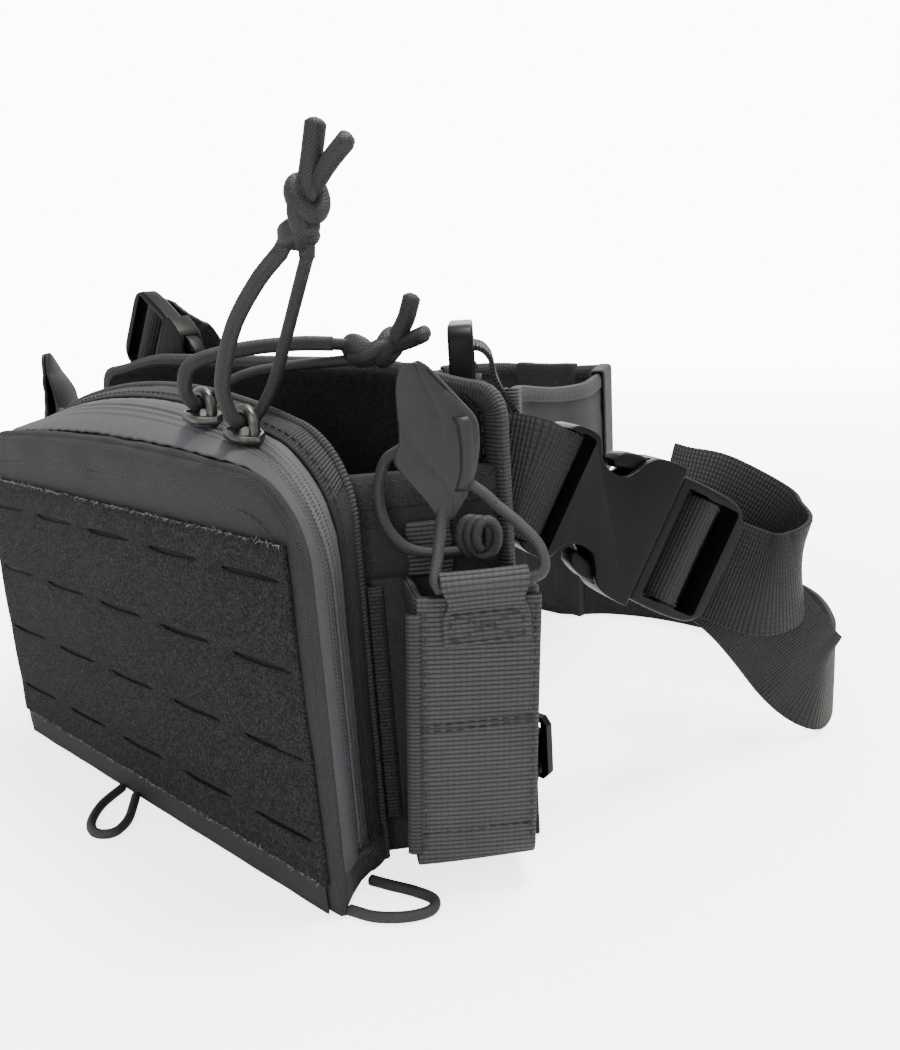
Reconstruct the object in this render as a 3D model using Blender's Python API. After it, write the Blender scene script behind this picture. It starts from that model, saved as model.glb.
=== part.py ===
"""A compact chest rig with a cross-back harness, standing on its base with the harness laid behind it.

The rig is a wide open-topped pocket with a zipped pouch on its front and a magazine pouch on each
angled end. Lengths are in millimetres in the rig's own axes: X to the wearer's left hand as seen
from the front, Y from the front towards the wearer, Z up, with Y = 0 near the rear panel. An empty
named rig carries every piece and centres the footprint on the world's origin.
"""

import math

import bmesh
import bpy
from mathutils import Vector

MM = 0.001
GAP = 0.3  # between pieces that touch
CENTRE_Y = 64.2  # rig Y of the middle of the footprint

# Main pocket
PANEL_HALF = 114.0
PANEL_TOP = 151.0
PANEL_END_DROP = 6.0
PANEL_FRONT_Y = 1.8
PANEL_BACK_Y = 4.8
BASE_Z = 2.0
POCKET_TOP = 122.0
POCKET_FRONT_Y = -31.0
FOLD_X = 84.0
WING_ANGLE = math.radians(50.0)
WALL = 2.0

# Zipped pouch: depth, then half width, top, corner drop and corner radius at the rear, middle, front
POUCH_Y = (-33.3, -48.0, -59.2)
POUCH_HALF = (87.5, 91.0, 98.0)
POUCH_TOP = (145.0, 138.5, 131.0)
POUCH_DROP = (8.0, 7.0, 3.0)
POUCH_RADIUS = (26.0, 36.0, 24.0)
GUSSET_WALL = 1.8
TAPE_Y = (-57.0, -48.0, -35.6)
TAPE_THICK = 0.8
TAPE_LIFT = 1.2
COIL_RISE = 1.5
ZIP_END_Z = 14.0
SLIDER_LIFT = 0.6

# Slotted field
FIELD_HALF = (94.0, 96.5)
FIELD_Z = (13.0, 112.0)
FIELD_Y = (-62.9, -61.5)
SLOT_LENGTH = 28.0
SLOT_HEIGHT = 2.4
SLOT_PITCH_X = 39.6
ROW_PITCH = 25.4
FIRST_ROW_Z = 25.3

# Webbing and cords
WEBBING = 36.0
SHOULDER_WEBBING = 30.0
WEBBING_THICK = 1.6
BAND_HEIGHT = 44.0
BAND_THICK = 3.6
CORD_RADIUS = 1.9
SHOCK_RADIUS = 1.6

# Side-release buckles, drawn for 38 mm webbing
SIDE_SCALE = 1.03
SHOULDER_SCALE = 0.84

RIGHT, LEFT = 1, -1
SIDE_NAMES = {RIGHT: "right", LEFT: "left"}


# ---------------------------------------------------------------- materials and scene

def clear_scene():
    for obj in list(bpy.data.objects):
        bpy.data.objects.remove(obj, do_unlink=True)


def principled(name, colour, roughness, metallic=0.0):
    material = bpy.data.materials.new(name)
    material.use_nodes = True
    shader = material.node_tree.nodes["Principled BSDF"]
    shader.inputs["Base Color"].default_value = (*colour, 1.0)
    shader.inputs["Roughness"].default_value = roughness
    shader.inputs["Metallic"].default_value = metallic
    return material


def make_materials():
    return {
        "cordura": principled("cordura", (0.040, 0.040, 0.043), 0.85),
        "lining": principled("loop_pile", (0.012, 0.012, 0.013), 0.95),
        "tape": principled("zip_tape", (0.075, 0.075, 0.090), 0.70),
        "webbing": principled("webbing", (0.045, 0.046, 0.050), 0.75),
        "plastic": principled("plastic", (0.050, 0.051, 0.048), 0.45),
        "cord": principled("cord", (0.050, 0.051, 0.055), 0.80),
        "shock": principled("shock_cord", (0.090, 0.092, 0.095), 0.60),
        "rubber": principled("coated_tab", (0.075, 0.075, 0.070), 0.55),
        "metal": principled("slider_metal", (0.060, 0.058, 0.055), 0.35, 0.9),
    }


def make_object(name, vertices, faces, material, pivot=(0, 0, 0)):
    """A closed mesh given in rig millimetres, with the object's origin at the pivot."""
    pivot = Vector(pivot)
    mesh = bpy.data.meshes.new(name)
    mesh.from_pydata([(Vector(v) - pivot) * MM for v in vertices], [], faces)
    shell = bmesh.new()
    shell.from_mesh(mesh)
    bmesh.ops.recalc_face_normals(shell, faces=shell.faces)
    shell.to_mesh(mesh)
    shell.free()
    mesh.materials.append(MATERIALS[material])
    obj = bpy.data.objects.new(name, mesh)
    obj.location = pivot * MM
    obj.parent = RIG
    bpy.context.scene.collection.objects.link(obj)
    return obj


def boolean(obj, cutters, operation="DIFFERENCE"):
    """Applies a chain of exact Booleans and removes the helpers."""
    for index, cutter in enumerate(cutters):
        cutter.hide_render = True
        cutter.display_type = "WIRE"
        modifier = obj.modifiers.new(f"{operation.lower()}_{index}", "BOOLEAN")
        modifier.operation = operation
        modifier.object = cutter
    bpy.context.view_layer.update()
    evaluated = obj.evaluated_get(bpy.context.evaluated_depsgraph_get())
    result = bpy.data.meshes.new_from_object(evaluated)
    obj.modifiers.clear()
    obj.data = result
    for cutter in cutters:
        bpy.data.objects.remove(cutter, do_unlink=True)
    return obj


# ---------------------------------------------------------------- shape helpers

def loft(rings, closed=False):
    """Vertices and faces of a skin over rings of equal count; the ends are capped unless closed."""
    count = len(rings[0])
    vertices = [point for ring in rings for point in ring]
    faces = []
    spans = len(rings) if closed else len(rings) - 1
    for i in range(spans):
        near, far = i * count, ((i + 1) % len(rings)) * count
        for j in range(count):
            k = (j + 1) % count
            faces.append((near + j, near + k, far + k, far + j))
    if not closed:
        faces.append(tuple(range(count)))
        faces.append(tuple(range((len(rings) - 1) * count, len(rings) * count)))
    return vertices, faces


def plate_y(outline, y0, y1):
    """An outline in X and Z, extruded along Y."""
    return loft([[(x, y, z) for x, z in outline] for y in (y0, y1)])


def prism_z(outline, z0, z1):
    """An outline in X and Y, extruded along Z."""
    return loft([[(x, y, z) for x, y in outline] for z in (z0, z1)])


def box(low, high):
    outline = [(low[0], low[1]), (high[0], low[1]), (high[0], high[1]), (low[0], high[1])]
    return prism_z(outline, low[2], high[2])


def arc(centre, radius, start, end, steps):
    """Points on an arc in a plane, angles in degrees."""
    angles = [math.radians(start + (end - start) * i / steps) for i in range(steps + 1)]
    return [(centre[0] + radius * math.cos(a), centre[1] + radius * math.sin(a)) for a in angles]


def smooth_path(points, per_span=4):
    """Points on a Catmull-Rom curve through the given points."""
    knots = [Vector(p) for p in points]
    knots = [2 * knots[0] - knots[1], *knots, 2 * knots[-1] - knots[-2]]
    path = []
    for a, b, c, d in zip(knots, knots[1:], knots[2:], knots[3:]):
        for step in range(per_span):
            t = step / per_span
            path.append(0.5 * (2 * b + (c - a) * t + (2 * a - 5 * b + 4 * c - d) * t * t
                               + (3 * b - a - 3 * c + d) * t ** 3))
    return [*path, knots[-2]]


def tangents(path):
    ends = [path[0], *path, path[-1]]
    return [(after - before).normalized() for before, after in zip(ends, ends[2:])]


def ribbon(points, sides, width, thick, per_span=4):
    """A flat strap along a smooth path. A side is the strap's width direction at each point."""
    path = smooth_path(points, per_span)
    across = smooth_path(sides, per_span)
    rings = []
    for point, along, side in zip(path, tangents(path), across):
        side = (side - along * side.dot(along)).normalized() * width / 2
        face = along.cross(side).normalized() * thick / 2
        rings.append([point + side + face, point - side + face,
                      point - side - face, point + side - face])
    return loft(rings)


def tube(name, points, radius, material, per_span=3):
    """A cord: a round tube along a smooth path."""
    path = smooth_path(points, per_span)
    curve = bpy.data.curves.new(name, "CURVE")
    curve.dimensions = "3D"
    curve.bevel_depth = radius * MM
    curve.bevel_resolution = 2
    curve.use_fill_caps = True
    spline = curve.splines.new("POLY")
    spline.points.add(len(path) - 1)
    start = path[0]
    for slot, point in zip(spline.points, path):
        slot.co = (*((point - start) * MM), 1.0)
    curve.materials.append(MATERIALS[material])
    obj = bpy.data.objects.new(name, curve)
    obj.location = start * MM
    obj.parent = RIG
    bpy.context.scene.collection.objects.link(obj)
    return obj


def ellipsoid(centre, along, half_length, half_width, rings=7, sides=10):
    """A closed egg shape with its long axis in a given direction."""
    along = Vector(along).normalized()
    across = along.orthogonal().normalized()
    third = along.cross(across)
    centre = Vector(centre)
    sections = []
    for i in range(rings):
        angle = math.pi * (i + 0.5) / rings
        middle = centre - along * half_length * math.cos(angle)
        reach = half_width * math.sin(angle)
        sections.append([middle + reach * (across * math.cos(a) + third * math.sin(a))
                         for a in (2 * math.pi * j / sides for j in range(sides))])
    return loft(sections)


def mirrored(side, point):
    return Vector((side * point[0], point[1], point[2]))


# ---------------------------------------------------------------- main pocket

def panel_top(x):
    """Height of the rear panel's top edge: level in the middle, lower at the ends."""
    t = min(max((abs(x) - 60.0) / 50.0, 0.0), 1.0)
    return PANEL_TOP - PANEL_END_DROP * t * t * (3 - 2 * t)


def panel_outline(half, bottom, inset, corner):
    """A rounded rectangle whose top follows panel_top."""
    end_z = panel_top(half) - inset
    right = arc((half - 5, bottom + 5), 5, -90, 0, 3)
    right += arc((half - corner, end_z - corner), corner, 0, 90, 5)
    steps = 14
    top = []
    for i in range(1, steps):
        x = (half - corner) * (1 - 2 * i / steps)
        top.append((x, panel_top(x) - inset))
    left = [(-x, z) for x, z in reversed(right)]
    return [*right, *top, *left]


def rear_panel():
    outline = panel_outline(PANEL_HALF, BASE_Z, 0.0, 9.0)
    make_object("rear_panel", *plate_y(outline, PANEL_FRONT_Y, PANEL_BACK_Y), "cordura")
    lining = panel_outline(107.0, BASE_Z + 5, 3.0, 8.0)
    make_object("rear_loop_lining", *plate_y(lining, 0.3, PANEL_FRONT_Y - GAP), "lining")


def front_panel():
    """The front wall, its two angled ends and the floor, folded from one sheet."""
    end_y = PANEL_FRONT_Y - GAP
    reach = (end_y - POCKET_FRONT_Y) / math.tan(WING_ANGLE)
    inner_fold = FOLD_X - WALL * math.tan(WING_ANGLE / 2)
    inner_y = POCKET_FRONT_Y + WALL
    inner_end = inner_fold + (end_y - inner_y) / math.tan(WING_ANGLE)
    outer = [(-FOLD_X - reach, end_y), (-FOLD_X, POCKET_FRONT_Y),
             (FOLD_X, POCKET_FRONT_Y), (FOLD_X + reach, end_y)]
    inner = [(inner_end, end_y), (inner_fold, inner_y), (-inner_fold, inner_y), (-inner_end, end_y)]
    wall = make_object("front_panel", *prism_z(outer + inner, BASE_Z, POCKET_TOP), "cordura")
    floor_end = 1.2
    slope = 1 / math.tan(WING_ANGLE)
    floor = [(-FOLD_X + 0.8, POCKET_FRONT_Y + 0.8), (FOLD_X - 0.8, POCKET_FRONT_Y + 0.8),
             (FOLD_X - 0.8 + (floor_end - POCKET_FRONT_Y - 0.8) * slope, floor_end),
             (-FOLD_X + 0.8 - (floor_end - POCKET_FRONT_Y - 0.8) * slope, floor_end)]
    boolean(wall, [make_object("floor", *prism_z(floor, BASE_Z, BASE_Z + 2.6), "cordura")], "UNION")


# ---------------------------------------------------------------- zipped pouch

def between(values, y):
    """The value at depth y of a quantity given at the pouch's rear, middle and front."""
    rear, middle, front = POUCH_Y
    if y > middle:
        t = (y - middle) / (rear - middle)
        return values[1] + (values[0] - values[1]) * t
    t = (y - middle) / (front - middle)
    return values[1] + (values[2] - values[1]) * t


ARC_STEPS = 7
TOP_STEPS = 4
SIDE_STEPS = 3


def pouch_outline(y, offset=0.0):
    """The pouch's outline at depth y, grown by an offset: up the right side, over the top, down.

    The corner and the shallow crown are arcs that meet without a kink, so a slider can follow each.
    """
    half = between(POUCH_HALF, y) + offset
    radius = between(POUCH_RADIUS, y) + offset
    drop = between(POUCH_DROP, y)
    top = between(POUCH_TOP, y) + offset
    corner_x, corner_z = half - radius, top - drop - radius
    crown_radius = radius + (corner_x ** 2 + drop ** 2) / (2 * drop)
    slant = math.degrees(math.asin(corner_x / (crown_radius - radius)))
    side = [(half, ZIP_END_Z + (corner_z - ZIP_END_Z) * i / SIDE_STEPS)
            for i in range(SIDE_STEPS)]
    corner = arc((corner_x, corner_z), radius, 0, 90 - slant, ARC_STEPS)
    crown = arc((0, top - crown_radius), crown_radius, 90 - slant, 90, TOP_STEPS)[1:]
    right = side + corner + crown
    left = [(-x, z) for x, z in reversed(right[:-1])]
    return right + left


def pouch_ring(y, offset=0.0):
    """The closed outline: the zip's run plus the rounded bottom."""
    half = between(POUCH_HALF, y) + offset
    low = BASE_Z - offset
    corner = arc((half - 5, low + 5), 5, -90, 0, 3)
    left = [(-x, z) for x, z in reversed(corner)]
    return corner + pouch_outline(y, offset) + left


def pouch_walls():
    rear, middle, front = POUCH_Y
    depths = (rear, TAPE_Y[2], middle, TAPE_Y[0], front)
    outer = [[(x, y, z) for x, z in pouch_ring(y)] for y in depths]
    inner = [[(x, y, z) for x, z in pouch_ring(y, -GUSSET_WALL)] for y in reversed(depths)]
    make_object("zip_pouch_gusset", *loft(outer + inner, closed=True), "cordura")
    make_object("zip_pouch_back", *plate_y(pouch_ring(rear), rear + GAP, -31.4), "cordura")
    make_object("zip_pouch_front", *plate_y(pouch_ring(front), -61.2, front - GAP), "cordura")


def loop_field():
    """The slotted field: four rows of five slots."""
    top_half, low_half = FIELD_HALF
    low, high = FIELD_Z
    outline = [(-low_half, low), (low_half, low), (top_half, high), (-top_half, high)]
    field = make_object("loop_field", *plate_y(outline, *FIELD_Y), "lining")
    cutters = []
    for row in range(4):
        z = FIRST_ROW_Z + row * ROW_PITCH
        for column in range(-2, 3):
            x = column * SLOT_PITCH_X
            slot = box((x - SLOT_LENGTH / 2, FIELD_Y[0] - 1, z - SLOT_HEIGHT / 2),
                       (x + SLOT_LENGTH / 2, FIELD_Y[1] + 1, z + SLOT_HEIGHT / 2))
            cutters.append(make_object(f"slot_{row}_{column}", *slot, "lining"))
    boolean(field, cutters)


def zip_chain():
    """The zip's tape over the gusset with its coil in the middle."""
    high = TAPE_LIFT + TAPE_THICK
    front, middle, rear = TAPE_Y
    section = [(front, TAPE_LIFT), (middle, TAPE_LIFT), (rear, TAPE_LIFT), (rear, high),
               (middle + 1.6, high), (middle + 1.0, high + COIL_RISE),
               (middle - 1.0, high + COIL_RISE), (middle - 1.6, high), (front, high)]
    runs = [[(x, y, z) for x, z in pouch_outline(y, offset)] for y, offset in section]
    rings = [list(ring) for ring in zip(*runs)]
    make_object("zip_chain", *loft(rings), "tape")


def coil_frame(x):
    """Point, run direction and outward direction on the coil's crest at the top run, at rig X."""
    y = TAPE_Y[1]
    path = pouch_outline(y, TAPE_LIFT + TAPE_THICK + COIL_RISE)
    for (x0, z0), (x1, z1) in zip(path, path[1:]):
        if x1 <= x <= x0 and z0 > POUCH_TOP[1] / 2:
            t = (x0 - x) / (x0 - x1)
            run = Vector((x1 - x0, 0, z1 - z0)).normalized()
            return Vector((x, y, z0 + (z1 - z0) * t)), run, Vector((run.z, 0, -run.x))
    raise ValueError("no zip at this X")


def slider(name, x):
    """A slider: a plate over the coil with an arch that the cord passes through."""
    foot, run, out = coil_frame(x)
    run = -run

    def place(a, y, h):
        return foot + run * a + Vector((0, y, 0)) + out * (h + SLIDER_LIFT)

    plate_outline = [(-5.0, -3.0), (-3.2, -4.6), (3.4, -4.6), (5.6, -2.4),
                     (5.6, 2.4), (3.4, 4.6), (-3.2, 4.6), (-5.0, 3.0)]
    plate = loft([[place(a, y, h) for a, y in plate_outline] for h in (0.0, 2.2)])
    body = make_object(name, *plate, "metal")
    outer = [(-4.4, 1.6), (4.4, 1.6), *arc((0, 4.2), 4.4, 0, 180, 8)]
    inner = [(-2.9, 2.9), (2.9, 2.9), *arc((0, 4.4), 2.9, 0, 180, 8)]
    arch = loft([[place(a, y, h) for a, h in outer] for y in (-1.6, 1.6)])
    hole = loft([[place(a, y, h) for a, h in inner] for y in (-3.0, 3.0)])
    arch_object = make_object("arch", *arch, "metal")
    boolean(arch_object, [make_object("arch_hole", *hole, "metal")])
    boolean(body, [arch_object], "UNION")


SLIDER_RIGHT_X = 61.7
SLIDER_LEFT_X = 42.0


def pull(side_name, slider_x, front_route, back_route, knot, knot_along, tails):
    """Two strands from a slider's arch to a knot with two cut ends."""
    eye = arch_eye(slider_x)
    for label, sign, route in (("front", -1, front_route), ("back", 1, back_route)):
        points = [eye + Vector((0, sign * reach, 0)) for reach in (0.7, 3.0)]
        tube(f"pull_cord_{side_name}_{label}", [*points, *route], CORD_RADIUS, "cord")
    body = make_object(f"pull_knot_{side_name}", *ellipsoid(knot, knot_along, 10.0, 6.8), "cord")
    ends = []
    for i, tip in enumerate(tails):
        start = Vector(knot) + Vector(knot_along).normalized() * 4
        rod = ellipsoid((start + Vector(tip)) / 2, Vector(tip) - start,
                        (Vector(tip) - start).length / 2, 2.6, rings=5, sides=8)
        ends.append(make_object(f"tail_{i}", *rod, "cord"))
    boolean(body, ends, "UNION")


def arch_eye(slider_x):
    foot, _, out = coil_frame(slider_x)
    return foot + out * (SLIDER_LIFT + 5.1)


def zip_pulls():
    pull("right", SLIDER_RIGHT_X,
         [(63.6, -53.6, 144.4), (66.0, -55.8, 152.0), (74.0, -55.8, 166.0),
          (84.0, -54.0, 177.0), (92.3, -52.4, 183.4)],
         [(65.0, -42.4, 144.0), (69.5, -41.0, 151.0), (79.5, -42.6, 164.0),
          (90.0, -45.4, 175.6), (97.0, -47.7, 182.4)],
         (101.0, -50.0, 194.0), (0.50, -0.02, 0.86),
         [(107.5, -50.0, 211.0), (117.5, -50.0, 206.0)])
    pull("left", SLIDER_LEFT_X,
         [(43.6, -53.8, 149.0), (47.0, -52.0, 156.0), (55.0, -40.4, 158.8),
          (64.0, -27.9, 159.2), (70.0, -19.8, 158.4)],
         [(45.6, -42.2, 148.0), (51.0, -37.0, 151.2), (59.0, -28.5, 152.6),
          (67.0, -20.0, 153.0), (71.6, -16.2, 153.2)],
         (79.5, -8.6, 156.0), (0.62, 0.70, 0.06),
         [(90.0, -6.0, 170.0), (95.0, -7.0, 160.0)])


# ---------------------------------------------------------------- angled ends

def wing(side, s, off, z):
    """A point on an angled end: s along it from the fold, off outwards from its face."""
    cos, sin = math.cos(WING_ANGLE), math.sin(WING_ANGLE)
    return mirrored(side, (FOLD_X + s * cos + off * sin, POCKET_FRONT_Y + s * sin - off * cos, z))


MAG_LOW, MAG_HIGH = 15.0, 92.0
MAG_DEPTH = 24.0
MAG_LEAN = 5.0  # how much further along the end the pouch's top lies than its bottom


def lean(s, z):
    return s + MAG_LEAN * (z - MAG_LOW) / (MAG_HIGH - MAG_LOW)


def magazine_pouch(side):
    """Flanges, side walls and front in one folded wall, with a floor."""
    name = SIDE_NAMES[side]
    profile = [(3.7, 0.3), (3.7, 2.0), (8.2, 2.0), (10.2, MAG_DEPTH), (44.2, MAG_DEPTH),
               (41.6, 2.0), (42.6, 2.0), (42.6, 0.3), (39.8, 0.3), (42.4, MAG_DEPTH - 1.7),
               (12.0, MAG_DEPTH - 1.7), (10.0, 0.3)]

    def ring(points, z):
        return [wing(side, lean(s, z) if off > 2.5 else s, off, z) for s, off in points]

    wall = loft([ring(profile, MAG_LOW), ring(profile, MAG_HIGH)])
    shell = make_object(f"magazine_pouch_{name}", *wall, "cordura")
    floor = [(9.2, 0.7), (10.9, MAG_DEPTH - 0.7), (43.3, MAG_DEPTH - 0.7), (41.0, 0.7)]
    plate = loft([[wing(side, s, off, z) for s, off in floor] for z in (MAG_LOW + 0.6, MAG_LOW + 2.4)])
    boolean(shell, [make_object("floor", *plate, "cordura")], "UNION")


def magazine_webbing(side):
    """The wide webbing down the front and under, with a cord tunnel folded at its top."""
    name = SIDE_NAMES[side]
    front = [(25.3, 92.0), (25.3, 60.0), (25.3, 30.0), (25.3, 19.0), (25.0, 14.2), (22.0, 11.8),
             (15.0, 11.0), (6.0, 11.0)]
    points = [wing(side, lean(27.2, z), off, z) for off, z in front]
    across = wing(side, 1, 0, 0) - wing(side, 0, 0, 0)
    strap = ribbon(points, [across] * len(points), 34.0, 1.6, per_span=2)
    body = make_object(f"magazine_webbing_{name}", *strap, "webbing")
    tunnel = [(26.3, 79.0), (27.0, 88.0), (27.5, 95.0), (25.4, 99.2), (22.8, 97.4), (22.4, 93.2)]
    points = [wing(side, 33.6, off, z) for off, z in tunnel]
    loop = ribbon(points, [across] * len(points), 24.0, 1.2, per_span=2)
    boolean(body, [make_object("tunnel", *loop, "webbing")], "UNION")


def retention(side):
    """The shock cord over the pouch's mouth, its anchor and its pull tab."""
    name = SIDE_NAMES[side]
    anchor = [(15.0, 93.0), (28.0, 91.0), (28.4, 108.5), (16.4, 109.0)]
    plate = loft([[wing(side, s, off, z) for s, z in anchor] for off in (0.3, 2.1)])
    make_object(f"cord_anchor_{name}", *plate, "webbing")
    outline = [(20.0, 112.0), (25.5, 108.6), (32.5, 108.0), (36.6, 118.0), (37.0, 132.0),
               (31.5, 143.0), (25.0, 152.4), (20.0, 151.0), (16.2, 145.0), (18.0, 128.0)]
    tab = loft([[wing(side, s, off + (z - 108) * 0.02, z) for s, z in outline]
                for off in (9.0, 15.0)])
    make_object(f"pull_tab_{name}", *tab, "rubber", wing(side, 26.0, 12.0, 110.0))
    front = [(20.6, 25.0, 95.3), (26.0, 24.8, 95.3), (34.0, 24.8, 95.3), (44.0, 24.8, 95.3),
             (49.8, 25.0, 97.5), (49.6, 23.0, 103.5), (45.0, 20.0, 109.5), (39.4, 16.0, 114.6)]
    tube(f"retention_cord_front_{name}", [wing(side, *p) for p in front], SHOCK_RADIUS, "shock")
    rear = [(15.6, 9.4, 131.0), (10.8, 6.0, 127.0), (8.4, 4.2, 118.0), (9.6, 4.2, 109.0),
            (14.0, 4.3, 102.4), (20.0, 4.4, 99.6), (28.0, 4.6, 99.0), (33.0, 5.4, 99.0)]
    cord = [wing(side, *p) for p in rear]
    tube(f"retention_cord_rear_{name}", cord, SHOCK_RADIUS, "shock")


def pouch_side(side):
    magazine_pouch(side)
    magazine_webbing(side)
    retention(side)


# ---------------------------------------------------------------- side-release buckles

class Frame:
    """A buckle's own axes: x along it from the body's end, y across, z out of its face."""

    def __init__(self, side, origin, x_axis, y_axis, scale=1.0):
        self.side = side
        self.origin = Vector(origin)
        self.x = Vector(x_axis).normalized()
        y = Vector(y_axis)
        self.y = (y - self.x * y.dot(self.x)).normalized()
        self.z = self.x.cross(self.y)
        self.scale = scale

    def point(self, x, y, z):
        offset = (self.x * x + self.y * y + self.z * z) * self.scale
        return mirrored(self.side, self.origin + offset)

    def direction(self, x, y, z):
        return mirrored(self.side, self.x * x + self.y * y + self.z * z)

    def slab(self, outline, z0, z1):
        return loft([[self.point(x, y, z) for x, y in outline] for z in (z0, z1)])

    def block(self, x0, x1, y0, y1, z0, z1):
        return self.slab([(x0, y0), (x1, y0), (x1, y1), (x0, y1)], z0, z1)


def symmetric(points):
    """An outline from its +y half, given from x = 0 outwards."""
    return points + [(x, -y) for x, y in reversed(points)]


def buckle_body(name, frame):
    """The receiving half: webbing bar, waist with open sides, and a flared mouth."""
    outline = symmetric([(0, 17.5), (1.5, 19.4), (11.5, 20.2), (14.5, 19.4), (17.5, 17.0), (25, 15.6),
                         (32, 17.4), (36, 21.6), (40, 23.2), (45, 23.4)])
    body = make_object(name, *frame.slab(outline, -5.6, 5.6), "plastic", frame.point(22, 0, 0))
    cutters = [
        make_object("bar_slot", *frame.block(4.6, 10.4, -18.4, 18.4, -8, 8), "plastic"),
        make_object("bar_relief_0", *frame.block(-1, 7, -18.0, 18.0, 2.4, 7), "plastic"),
        make_object("bar_relief_1", *frame.block(-1, 7, -18.0, 18.0, -7, -2.4), "plastic"),
        make_object("cavity", *frame.block(15.5, 46, -20.7, 20.7, -3.9, 3.9), "plastic"),
    ]
    boolean(body, cutters)


def buckle_tongue(name, frame, with_arms):
    """The plug half: a guide, a frame with a ladder bar, and its arms where they don't move."""
    outline = symmetric([(45.4, 20.6), (68, 20.8), (72.5, 19.6), (75.2, 16.4), (76, 12)])
    tongue = make_object(name, *frame.slab(outline, -4.4, 4.4), "plastic", frame.point(60, 0, 0))
    cutters = [
        make_object("window_0", *frame.block(50.5, 58.6, -18.4, 18.4, -6, 6), "plastic"),
        make_object("window_1", *frame.block(62.4, 71.6, -18.4, 18.4, -6, 6), "plastic"),
        make_object("bar_top", *frame.block(58, 63, -18.0, 18.0, 1.9, 6), "plastic"),
        make_object("bar_under", *frame.block(58, 63, -18.0, 18.0, -6, -1.9), "plastic"),
    ]
    boolean(tongue, cutters)
    guide = symmetric([(19, 1.6), (22, 3.0), (46.5, 3.6)])
    parts = [make_object("guide", *frame.slab(guide, -3.2, 3.2), "plastic")]
    if with_arms:
        for sign in (1, -1):
            arm = make_object(f"arm_{sign}", *frame.slab(arm_outline(sign, 47.0), -2.9, 2.9),
                              "plastic")
            parts.append(arm)
    boolean(tongue, parts, "UNION")


def arm_outline(sign, root):
    """A latch arm in plan, from its root at the tongue to its catch."""
    outer = [(root, 17.0), (40, 18.2), (36.5, 18.8), (34, 20.2), (28, 20.3), (22, 18.2)]
    inner = [(20.4, 15.4), (21.4, 13.4), (26, 14.6), (33, 15.0), (40, 13.2), (root, 11.4)]
    return [(x, sign * y) for x, y in outer + inner]


def buckle_arms(name, frame):
    for label, sign in (("upper", 1), ("lower", -1)):
        plate = frame.slab(arm_outline(sign, 44.7), -3.2, 3.2)
        make_object(f"{name}_arm_{label}", *plate, "plastic", frame.point(44.2, sign * 14.2, 0))


SIDE_FRAME = ((111.6, 18.6, 114.2), (0.351, 0.788, -0.507), (0.205, 0.464, 0.862))


def side_buckle(side):
    name = SIDE_NAMES[side]
    frame = Frame(side, *SIDE_FRAME, scale=SIDE_SCALE)
    buckle_body(f"side_buckle_body_{name}", frame)
    buckle_tongue(f"side_buckle_tongue_{name}", frame, with_arms=False)
    buckle_arms(f"side_buckle_{name}", frame)
    return frame


def side_webbing(side, frame):
    """Webbing sewn behind the rear panel, looped round the buckle's bar."""
    up = Vector((0, 0, 1))
    tilt = frame.direction(0, 1, 0)
    start = [(91.4, 6.4, 118.5), (98.0, 6.8, 118.5), (104.5, 9.2, 118.4)]
    loop = [(-4.5, 2.8), (-1.4, 3.5), (2.0, 3.8), (6.4, 3.1), (8.1, 0.0), (6.4, -3.1),
            (2.0, -3.8), (-3.0, -3.2)]
    points = [mirrored(side, p) for p in start] + [frame.point(x, 0, z) for x, z in loop]
    sides = [up, up, up, (up + tilt).normalized()] + [tilt] * (len(loop) - 1)
    strap = ribbon(points, sides, WEBBING - 0.6, WEBBING_THICK, per_span=3)
    make_object(f"side_webbing_{SIDE_NAMES[side]}", *strap, "webbing")


def harness_strap(side, frame):
    """Webbing from the back yoke along the surface, up to the tongue's bar, with a free tail."""
    up = Vector((0, 0, 1))
    tilt = frame.direction(0, 1, 0)
    flat = mirrored(side, (0.55, 0.75, 0.35))
    turning = mirrored(side, (0.35, 0.45, 0.80))
    tail = [(106.0, 99.0, 103.0), (118.0, 106.0, 98.0), (130.0, 114.0, 88.0),
            (143.0, 118.6, 78.0), (153.0, 114.0, 71.0), (156.0, 104.5, 66.6),
            (150.0, 93.0, 66.4)]
    tail_sides = [flat, flat, turning, up, up, up, (up + tilt).normalized()]
    wrap = [(80.0, -6.3), (72.0, -6.0), (68.2, -4.6), (65.6, -0.6), (63.6, 2.6), (60.5, 3.6),
            (57.4, 2.6), (55.2, -0.8), (54.6, -5.0), (56.6, -8.6), (62.0, -9.8), (72.0, -10.0),
            (79.0, -10.2)]
    floor = [(141.0, 95.6, 60.0), (148.5, 104.0, 46.0), (156.0, 113.0, 30.0),
             (160.0, 124.0, 21.4), (154.0, 146.0, 20.2), (132.0, 174.0, 20.2),
             (96.0, 188.0, 20.2), (56.0, 190.0, 20.2), (28.0, 183.0, 20.2), (13.0, 172.0, 20.2)]
    points = [mirrored(side, p) for p in tail] + [frame.point(x, 0, z) for x, z in wrap]
    points += [mirrored(side, p) for p in floor]
    halfway = (tilt + up).normalized()
    sides = tail_sides + [tilt] * len(wrap) + [tilt, halfway] + [up] * (len(floor) - 2)
    strap = ribbon(points, sides, WEBBING, WEBBING_THICK, per_span=3)
    make_object(f"harness_strap_{SIDE_NAMES[side]}", *strap, "webbing")


# ---------------------------------------------------------------- shoulder straps

SHOULDER_FRAMES = {
    RIGHT: ((80.0, 24.5, 97.0), (0, 0, 1), (-0.66, 0.75, 0)),
    LEFT: ((46.0, 14.0, 128.5), (0.825, 0, 0.564), (-0.564, 0, 0.825)),
}


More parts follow.
